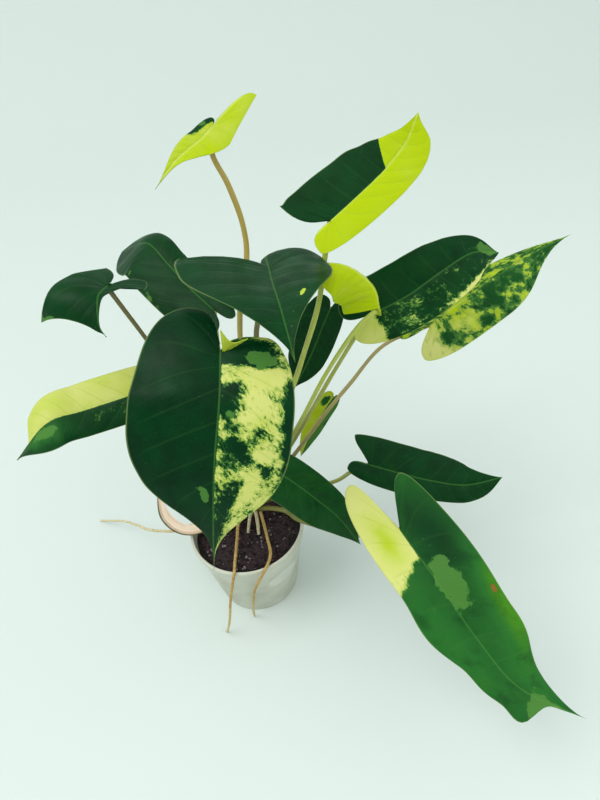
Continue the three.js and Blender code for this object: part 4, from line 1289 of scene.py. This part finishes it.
# %% [markdown]
# The sheath once wrapped a young leaf, and now it hangs over the rim, dry and papery. It
# could be a cloth simulation, but it is simply a narrow blade with a strong cup, so the
# function that made the leaves makes it too. Its edge is rolled, dark and olive.

# %% Sheath
SHEATH = dict(
    rib=[[0.7, 21.8, 107], [-34, 3, 109], [-66, -5, 110], [-90, 12, 115], [-100, 42, 124]],
    face=[[0.3, 0.1, 1]],
    right=dict(width=9, lobe=0.001, corner=0.5, notch=0.3, widest=0.12, belly=3, point=0.7, cup=25, curl=10),
    left=dict(width=7, lobe=0.001, corner=0.5, notch=0.3, widest=0.12, belly=3, point=0.7, cup=20, curl=10),
)
SHEATH_WAVE, SHEATH_WAVE_SEED = 0.3, 21


def sheath_material():
    """Papery sheath: cream-pink inside, long fibres, and a dark olive edge."""
    material, tree, shader = new_material("dry_sheath", Roughness=0.6)
    lane, parts = attribute(tree, "lane")
    fibre = pattern(tree, lane, [1.5, 14.0, 0.0], 3.0)
    warm = pattern(tree, lane, [3.0, 2.0, 0.0])
    outer = shifted(tree, calc(tree, "MULTIPLY", parts[1], -1.0), fibre, 0.3)
    colour = stained(tree, rgb("#efe2cf"), "#d8bfa2", fibre, 0.3, 0.7)
    colour = stained(tree, colour, "#c99a7a", warm, 0.4, 0.7, 0.4)
    colour = stained(tree, colour, "#55552c", outer, 0.55, 0.85)
    set_surface(tree, shader, colour, fibre, (0.5, 0.75), fibre, 0.3)
    return material


def build_sheath():
    """The sheath in place of the CAD solid."""
    points, faces, lane, flat = blade_sheet(SHEATH)
    closed, triangles = thicken(points, faces, lane, flat, SHEATH_WAVE_SEED, SHEATH_WAVE)
    fields = both_faces({"lane": lane})
    sheath = make_piece("dry_sheath", closed, triangles, sheath_material(), "sheath", fields, BLADE_SMOOTH)
    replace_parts(sheath, "sheath")
    return len(triangles)


print("sheath triangles", build_sheath())

# %% [markdown]
# A nursery pot is a thin turned shell with a slim lip. The Screw or Spin tool could turn
# it, but a profile in code keeps each size as a number, and the soil can use the same wall.
# Long stretches of the profile get extra points, so that the surface has even cells.

# %% Turned shapes
POT_HEIGHT, POT_BASE_RADIUS, POT_WALL_TOP_RADIUS = 105, 47, 62
POT_LIP_HEIGHT, POT_LIP_RADIUS = 7, 64.2
POT_WALL, POT_FLOOR = 1.8, 2.5
POT_FOOT_ROUND = 1.5


def inside_radius(z):
    """Inner radius of the wall at a height, in a straight line from foot to lip."""
    share = (z - POT_FOOT_ROUND) / (POT_HEIGHT - POT_LIP_HEIGHT - POT_FOOT_ROUND)
    return POT_BASE_RADIUS + share * (POT_WALL_TOP_RADIUS - POT_BASE_RADIUS) - POT_WALL


def turned(profile, sides):
    """Solid (r cos turn, r sin turn, z) of a profile that starts and ends on the axis."""
    turn = np.linspace(0, 2 * np.pi, sides, endpoint=False)
    ring = profile[1:-1]
    x, y = ring[:, :1] * np.cos(turn), ring[:, :1] * np.sin(turn)
    body = np.stack([x, y, np.broadcast_to(ring[:, 1:], x.shape)], -1).reshape(-1, 3)
    ends = [[0, 0, profile[0, 1]], [0, 0, profile[-1, 1]]]
    return np.vstack([body, ends]), capped(ring_index(len(ring), sides), len(body), len(body) + 1)


def dense(profile, pitch):
    """Profile with evenly spaced extra points, so that no stretch is longer than the pitch."""
    rows = [profile[0]]
    for a, b in zip(profile[:-1], profile[1:]):
        count = max(1, int(np.ceil(np.linalg.norm(b - a) / pitch)))
        rows += [a + (b - a) * k / count for k in range(1, count + 1)]
    return np.array(rows)


print("inner radius at the lip, mm", round(inside_radius(POT_HEIGHT - POT_LIP_HEIGHT), 1))

# %% [markdown]
# The pot is thin white plastic, so the dark soil dims its wall from within, up to the
# soil's level. Fine rings are left by the mould. An oval field on its right front is smooth,
# paler and bare, with a low ring round it. Real translucency would need thin glass-like
# walls and much light; a little subsurface and a dim cloud in the colour look the same here.

# %% Pot
OVAL_ANGLE, OVAL_HEIGHT = -52.0, 62.0
OVAL_HALF_WIDTH, OVAL_HALF_HEIGHT = 21.0, 12.0
FAR_FROM_OVAL = 3.0
POT_SIDES, POT_PITCH, POT_SMOOTH = 160, 2.5, 35


def pot_profile():
    """Outline of the wall from the middle of the underside to the middle of the floor."""
    top, lip_out = POT_HEIGHT - POT_LIP_HEIGHT, POT_LIP_RADIUS
    foot = [[0, 0], [POT_BASE_RADIUS - 1.5, 0], [POT_BASE_RADIUS - 0.4, 0.4],
            [POT_BASE_RADIUS, POT_FOOT_ROUND]]
    outer = [[POT_WALL_TOP_RADIUS - 0.2, top], [POT_WALL_TOP_RADIUS + 0.5, top + 0.3]]
    lip = [[lip_out - 0.4, top + 0.8], [lip_out, POT_HEIGHT - 0.8], [lip_out - 0.3, POT_HEIGHT - 0.25],
           [lip_out - 0.8, POT_HEIGHT], [lip_out - 2.6, POT_HEIGHT], [lip_out - 3.2, POT_HEIGHT - 0.8]]
    inner = [[inside_radius(z), z] for z in (top - 2, POT_FLOOR + 1)]
    floor = [[inner[1][0] - 1, POT_FLOOR], [0, POT_FLOOR]]
    return dense(np.array(foot + outer + lip + inner + floor, float), POT_PITCH)


def pot_material():
    """White plastic: soil dimly behind it, mould rings, and the oval field with its ring."""
    material, tree, shader = new_material("pot_plastic", Roughness=0.38, Subsurface_Weight=0.12,
                                          Subsurface_Scale=0.004)
    place = object_place(tree)
    oval, _, height_mm = attribute(tree, "lane")[1]
    cloud = noise(tree, place, 38.0, 4.0)
    fine = pattern(tree, place, [60.0, 60.0, 700.0])
    below_soil = step(tree, height_mm, 60.0, 93.0, 1.0, 0.0)
    shade = calc(tree, "MULTIPLY", step(tree, cloud, 0.3, 0.75, 0.1, 0.42), below_soil)
    colour = blend(tree, shade, rgb("#c3c6b6"), rgb("#8c8c7a"))
    colour = stained(tree, colour, "#9aa091", fine, 0.5, 0.8, 0.12)
    colour = tinted(tree, colour, "#e2e6e0", step(tree, oval, 0.96, 1.04, 1.0, 0.0), 0.4)
    ring = calc(tree, "MULTIPLY", step(tree, oval, 0.9, 0.97), step(tree, oval, 1.0, 1.07, 1.0, 0.0))
    height = calc(tree, "MULTIPLY_ADD", ring, 1.2, calc(tree, "MULTIPLY", fine, 0.2))
    set_surface(tree, shader, colour, cloud, (0.3, 0.46), height, 0.3)
    return material


def build_pot():
    """The pot in place of the CAD solid; lane holds the oval's radius, the angle and height.

    The oval's radius is 1 on its edge: the root of (across / half width)^2 + (up / half
    height)^2, and on the inside of the wall it is set to a value far away.
    """
    points, facets = turned(pot_profile(), POT_SIDES)
    angle = np.degrees(np.arctan2(points[:, 1], points[:, 0])) - OVAL_ANGLE
    radius = np.hypot(points[:, 0], points[:, 1])
    outward = radius > [inside_radius(z) + POT_WALL / 2 for z in points[:, 2]]
    across = np.radians(angle) * radius / OVAL_HALF_WIDTH
    upward = (points[:, 2] - OVAL_HEIGHT) / OVAL_HALF_HEIGHT
    oval = np.where(outward, np.hypot(across, upward), FAR_FROM_OVAL)
    fields = {"lane": np.stack([np.minimum(oval, FAR_FROM_OVAL), angle, points[:, 2]], -1)}
    pot = make_piece("nursery_pot", points, facets, pot_material(), "pot", fields, POT_SMOOTH)
    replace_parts(pot, "pot")
    return len(facets)


print("pot triangles", build_pot())

# %% [markdown]
# Potting mix is dark, moist and crumbly. Thousands of modelled crumbs would cost more than
# the whole plant, and only the top is seen. So it is one block with a lumpy top: a low dome
# with waves of three sizes, and crumbs finer than that come from the material's relief.

# %% Soil
SOIL_EDGE_Z, SOIL_MIDDLE_Z = 91.5, 94
SOIL_SIDES, SOIL_RINGS, SOIL_SMOOTH = 200, 70, 180
DOME_REACH = 60
LUMPS = ((0.9, 6, 31), (0.8, 2.8, 32), (0.4, 1.4, 33))
LUMPS_FROM, LUMPS_TO = 55, 61


def soil_material():
    """Dark moist mix: brown-purple crumbs, lighter fibres and a rough surface."""
    material, tree, shader = new_material("potting_mix", Roughness=0.9)
    place = object_place(tree)
    crumb = noise(tree, place, 300.0, 6.0, 0.75)
    cloud = noise(tree, place, 90.0, 3.0)
    fibre = pattern(tree, place, [90.0, 420.0, 200.0], 3.0)
    colour = stained(tree, rgb("#050304"), "#2a1c22", crumb, 0.35, 0.7)
    colour = stained(tree, colour, "#1f1a0e", cloud, 0.5, 0.75, 0.5)
    colour = stained(tree, colour, "#6f664c", fibre, 0.63, 0.7, 0.55)
    set_surface(tree, shader, colour, cloud, (0.75, 1.0), crumb, 1.6)
    return material


def soil_height(x, y):
    """A quarter cosine from middle to edge, plus waves of three sizes that end at the wall."""
    r = np.hypot(x, y)
    dome = SOIL_EDGE_Z + (SOIL_MIDDLE_Z - SOIL_EDGE_Z) * np.cos(np.pi / 2 * np.clip(r / DOME_REACH, 0, 1))
    lumps = sum(height * waves(x / size, y / size, seed) for height, size, seed in LUMPS)
    return dome + lumps * smoothstep(LUMPS_TO, LUMPS_FROM, r)


def build_soil():
    """The soil in place of the CAD solid: a turned block, whose top is then raised."""
    low = POT_FLOOR + GAP
    wall = [[inside_radius(z) - GAP, z] for z in (low + 1, SOIL_EDGE_Z)]
    profile = [[0, low], [inside_radius(low) - 1.5 - GAP, low]] + wall
    reach = wall[-1][0]
    profile += [[reach * (1 - k / SOIL_RINGS), SOIL_EDGE_Z] for k in range(1, SOIL_RINGS)]
    profile += [[0, SOIL_EDGE_Z]]
    points, facets = turned(np.array(profile, float), SOIL_SIDES)
    top = points[:, 2] > SOIL_EDGE_Z - 0.01
    points[top, 2] = soil_height(points[top, 0], points[top, 1])
    soil = make_piece("potting_mix", points, facets, soil_material(), "soil", None, SOIL_SMOOTH)
    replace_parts(soil, "soil")
    return len(facets)


print("soil triangles", build_soil())

# %% [markdown]
# Chips of bark and grains of perlite lie loose on the mix. A particle system could strew
# them, but it would have to be made real before an export. Here each chip is a small ball
# with jittered points, stretched, turned and set on the soil's own height, and all chips of
# a kind are one mesh of eighty faces each.

# %% Chips on the soil
PERLITE_CHIPS, BARK_CHIPS = 220, 420
CHIP_RINGS, CHIP_SIDES, CHIP_SMOOTH = 5, 8, 20
STREWN_REACH = 52
CHIP_SPIN, CHIP_TILT, CHIP_LIFT = 6.28, 0.5, 0.15


def ball(rings, sides):
    """Points (sin tilt cos turn, sin tilt sin turn, cos tilt) of a unit ball, and its triangles."""
    tilt = np.linspace(0, np.pi, rings + 2)[1:-1]
    turn = np.linspace(0, 2 * np.pi, sides, endpoint=False)
    x = np.sin(tilt)[:, None] * np.cos(turn)
    y = np.sin(tilt)[:, None] * np.sin(turn)
    z = np.cos(tilt)[:, None] + 0 * turn
    points = np.vstack([np.stack([x, y, z], -1).reshape(-1, 3), [[0, 0, 1], [0, 0, -1]]])
    skin = capped(ring_index(rings, sides), rings * sides, rings * sides + 1)
    return points, skin[:, [0, 2, 1]]


def scatter(count, sizes, stretch, seed):
    """Angular chips that lie on the soil, as one mesh.

    The distance from the middle is reach * sqrt(random), which strews them evenly.
    """
    rng = np.random.default_rng(seed)
    shape, facets = ball(CHIP_RINGS, CHIP_SIDES)
    points, triangles = [], []
    for k in range(count):
        reach = math.sqrt(rng.uniform(0.0, 1)) * STREWN_REACH
        turn = rng.uniform(0, FULL_TURN)
        x, y = reach * math.cos(turn), reach * math.sin(turn)
        size = rng.uniform(*sizes)
        lump = shape * (1 + rng.uniform(-0.3, 0.25, (len(shape), 1)))
        lump = lump * [size * rng.uniform(1, stretch), size, size * rng.uniform(0.5, 0.9)]
        spin = np.array(Matrix.Rotation(rng.uniform(0, CHIP_SPIN), 3, "Z") @
                        Matrix.Rotation(rng.uniform(-CHIP_TILT, CHIP_TILT), 3, "X"))
        height = float(soil_height(np.array([x]), np.array([y]))[0]) + CHIP_LIFT * size
        points.append(lump @ spin.T + [x, y, height])
        triangles.append(facets + k * len(shape))
    return np.vstack(points), np.concatenate(triangles)


def chip_material(name, light, dark, roughness):
    """Grainy chip with darker pores."""
    material, tree, shader = new_material(name, Roughness=roughness)
    pore = noise(tree, object_place(tree), 900.0, 3.0)
    colour = stained(tree, rgb(dark), light, pore, 0.38, 0.62)
    tree.links.new(colour, shader.inputs["Base Color"])
    set_relief(tree, shader, pore, 0.4)
    return material


perlite = make_piece("perlite", *scatter(PERLITE_CHIPS, (0.35, 1.7), 1.7, 41),
                     chip_material("perlite_grain", "#9a8e8c", "#4a3f42", 0.8), "soil", None, CHIP_SMOOTH)
bark = make_piece("bark_chips", *scatter(BARK_CHIPS, (1.2, 3.6), 2.4, 42),
                  chip_material("bark_chip", "#3c282c", "#100a0d", 0.85), "soil", None, CHIP_SMOOTH)
print("chips", len(perlite.data.polygons), len(bark.data.polygons))

# %% [markdown]
# The plant stands on a plain pale floor. A flat plane would end in a hard line behind it,
# so the floor rises in a wide curve, as a paper roll does in a studio. It is a stage, not
# a part of the object, and the frame is told so.

# %% Floor
FLOOR_HALF_WIDTH = 4000
FLOOR_FRONT, FLOOR_BEND, FLOOR_BACK, FLOOR_TOP = -2500, 1500, 2996.5, 5000
FLOOR_RADIUS = 1500
FLOOR_ROWS, BEND_ROWS = 9, 14


def stage_floor():
    """A level strip, a quarter circle that starts at the bend, and a wall behind."""
    material, tree, shader = new_material("pale_floor", Roughness=0.8)
    shader.inputs["Base Color"].default_value = rgb("#ced9d5")
    turn = np.linspace(0.1, 1.5, BEND_ROWS)
    level = np.linspace(FLOOR_FRONT, FLOOR_BEND, FLOOR_ROWS)
    y = np.concatenate([level, FLOOR_BEND + FLOOR_RADIUS * np.sin(turn), [FLOOR_BACK]])
    z = np.concatenate([np.zeros(FLOOR_ROWS), FLOOR_RADIUS - FLOOR_RADIUS * np.cos(turn), [FLOOR_TOP]])
    x = np.linspace(-FLOOR_HALF_WIDTH, FLOOR_HALF_WIDTH, 3)
    grid = np.stack(np.broadcast_arrays(x, y[:, None], z[:, None]), -1)
    faces = grid_triangles(np.arange(grid.size // 3).reshape(len(y), 3))[:, [0, 2, 1]]
    mesh = bpy.data.meshes.new("floor")
    mesh.from_pydata((grid.reshape(-1, 3) * MM).tolist(), [], faces.tolist())
    mesh.polygons.foreach_set("use_smooth", np.ones(len(faces), bool))
    mesh.materials.append(material)
    floor = bpy.data.objects.new("floor", mesh)
    bpy.context.scene.collection.objects.link(floor)
    return floor


floor = stage_floor()
floor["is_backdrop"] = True
print("floor faces", len(floor.data.polygons))

# %% [markdown]
# The light is that of a bright room: soft, from above and from the left, with faint
# shadows. One lamp would make them hard, and a photographed sky could bring its own colour.
# Three large area lamps and a plain grey world give the same softness with few numbers.

# %% Light
LAMP_TARGET = [60, 0, 250]
LAMPS = {
    "key": ([-2600, -900, 5400], 4.0, 170, (1.0, 0.99, 0.97)),
    "fill": ([4200, -2600, 3900], 5.0, 45, (0.97, 0.99, 1.0)),
    "front": ([900, -3600, 3600], 4.0, 75, (1.0, 1.0, 0.98)),
}
WORLD_STRENGTH = 1.0
WORLD_NEAR, WORLD_FAR = "#a6aeaa", "#f0f3f2"


def area_light(name, place, size, power, colour):
    """Square soft light at a place, turned to look at the plant."""
    light = bpy.data.lights.new(name, "AREA")
    light.size, light.energy, light.color = size, power, colour
    lamp = bpy.data.objects.new(name, light)
    lamp.location = Vector(place) * MM
    lamp.rotation_euler = (Vector(LAMP_TARGET) - Vector(place)).to_track_quat("-Z", "Y").to_euler()
    bpy.context.scene.collection.objects.link(lamp)
    return lamp


def studio_world():
    """Soft light from all round, dimmer from the side of the camera."""
    world = bpy.data.worlds.new("studio")
    world.use_nodes = True
    tree = world.node_tree
    way = node(tree, "ShaderNodeTexCoord").outputs["Generated"]
    parts = node(tree, "ShaderNodeSeparateXYZ", {0: way}).outputs
    behind = calc(tree, "MULTIPLY_ADD", parts[2], 0.6, parts[1])
    colour = stained(tree, rgb(WORLD_NEAR), WORLD_FAR, behind, -0.45, 0.45)
    tree.links.new(colour, tree.nodes["Background"].inputs["Color"])
    tree.nodes["Background"].inputs["Strength"].default_value = WORLD_STRENGTH
    return world


lamps = {name: area_light(name, *values) for name, values in LAMPS.items()}
lamps["front"].visible_glossy = False
bpy.context.scene.world = studio_world()
print("lamps", list(lamps))

# %% [markdown]
# The camera stands where the picture was taken: above the plant, looking down, and a
# little rolled. A Track To constraint would keep it level, so its three axes are worked out
# from pitch and roll instead. The view transform stays plain, for colours as they were set.

# %% Camera
CAMERA_PLACE = [77.8, -415.5, 655.3]
CAMERA_PITCH, CAMERA_ROLL = 42.0, -7.5
CAMERA_LENS, CAMERA_SENSOR = 36.0, 36.0


def place_camera():
    """Camera whose back axis is tilted by the pitch, and whose right axis by the roll."""
    pitch, roll = math.radians(CAMERA_PITCH), math.radians(CAMERA_ROLL)
    back = Vector((0, -math.cos(pitch), math.sin(pitch)))
    level_up = Vector((0, math.sin(pitch), math.cos(pitch)))
    right = Vector((math.cos(roll), 0, 0)) + level_up * math.sin(roll)
    up = back.cross(right)
    data = bpy.data.cameras.new("camera")
    data.lens, data.sensor_width, data.sensor_fit = CAMERA_LENS, CAMERA_SENSOR, "HORIZONTAL"
    data.clip_start, data.clip_end = 0.01, 20
    camera = bpy.data.objects.new("camera", data)
    turn = Matrix((right, up, back)).transposed().to_4x4()
    camera.matrix_world = Matrix.Translation(Vector(CAMERA_PLACE) * MM) @ turn
    bpy.context.scene.collection.objects.link(camera)
    bpy.context.scene.camera = camera
    return camera


camera = place_camera()
bpy.context.scene.view_settings.view_transform = "Standard"
print("camera", [round(c, 3) for c in camera.location])

# %% [markdown]
# At the end the whole plant is measured again. The numbers should match those of the CAD
# model at the start, because the finer pieces only refine its form, and both are printed,
# where a mistake in scale would be seen at once.

# %% Sizes and end
def as_lists(value):
    """Plain lists from vectors and arrays."""
    return [as_lists(v) for v in value] if hasattr(value, "__len__") else float(value)


size_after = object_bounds()
{"before": as_lists(size_before), "after": as_lists(size_after)}
print("bounds with the fine pieces", as_lists(size_after))
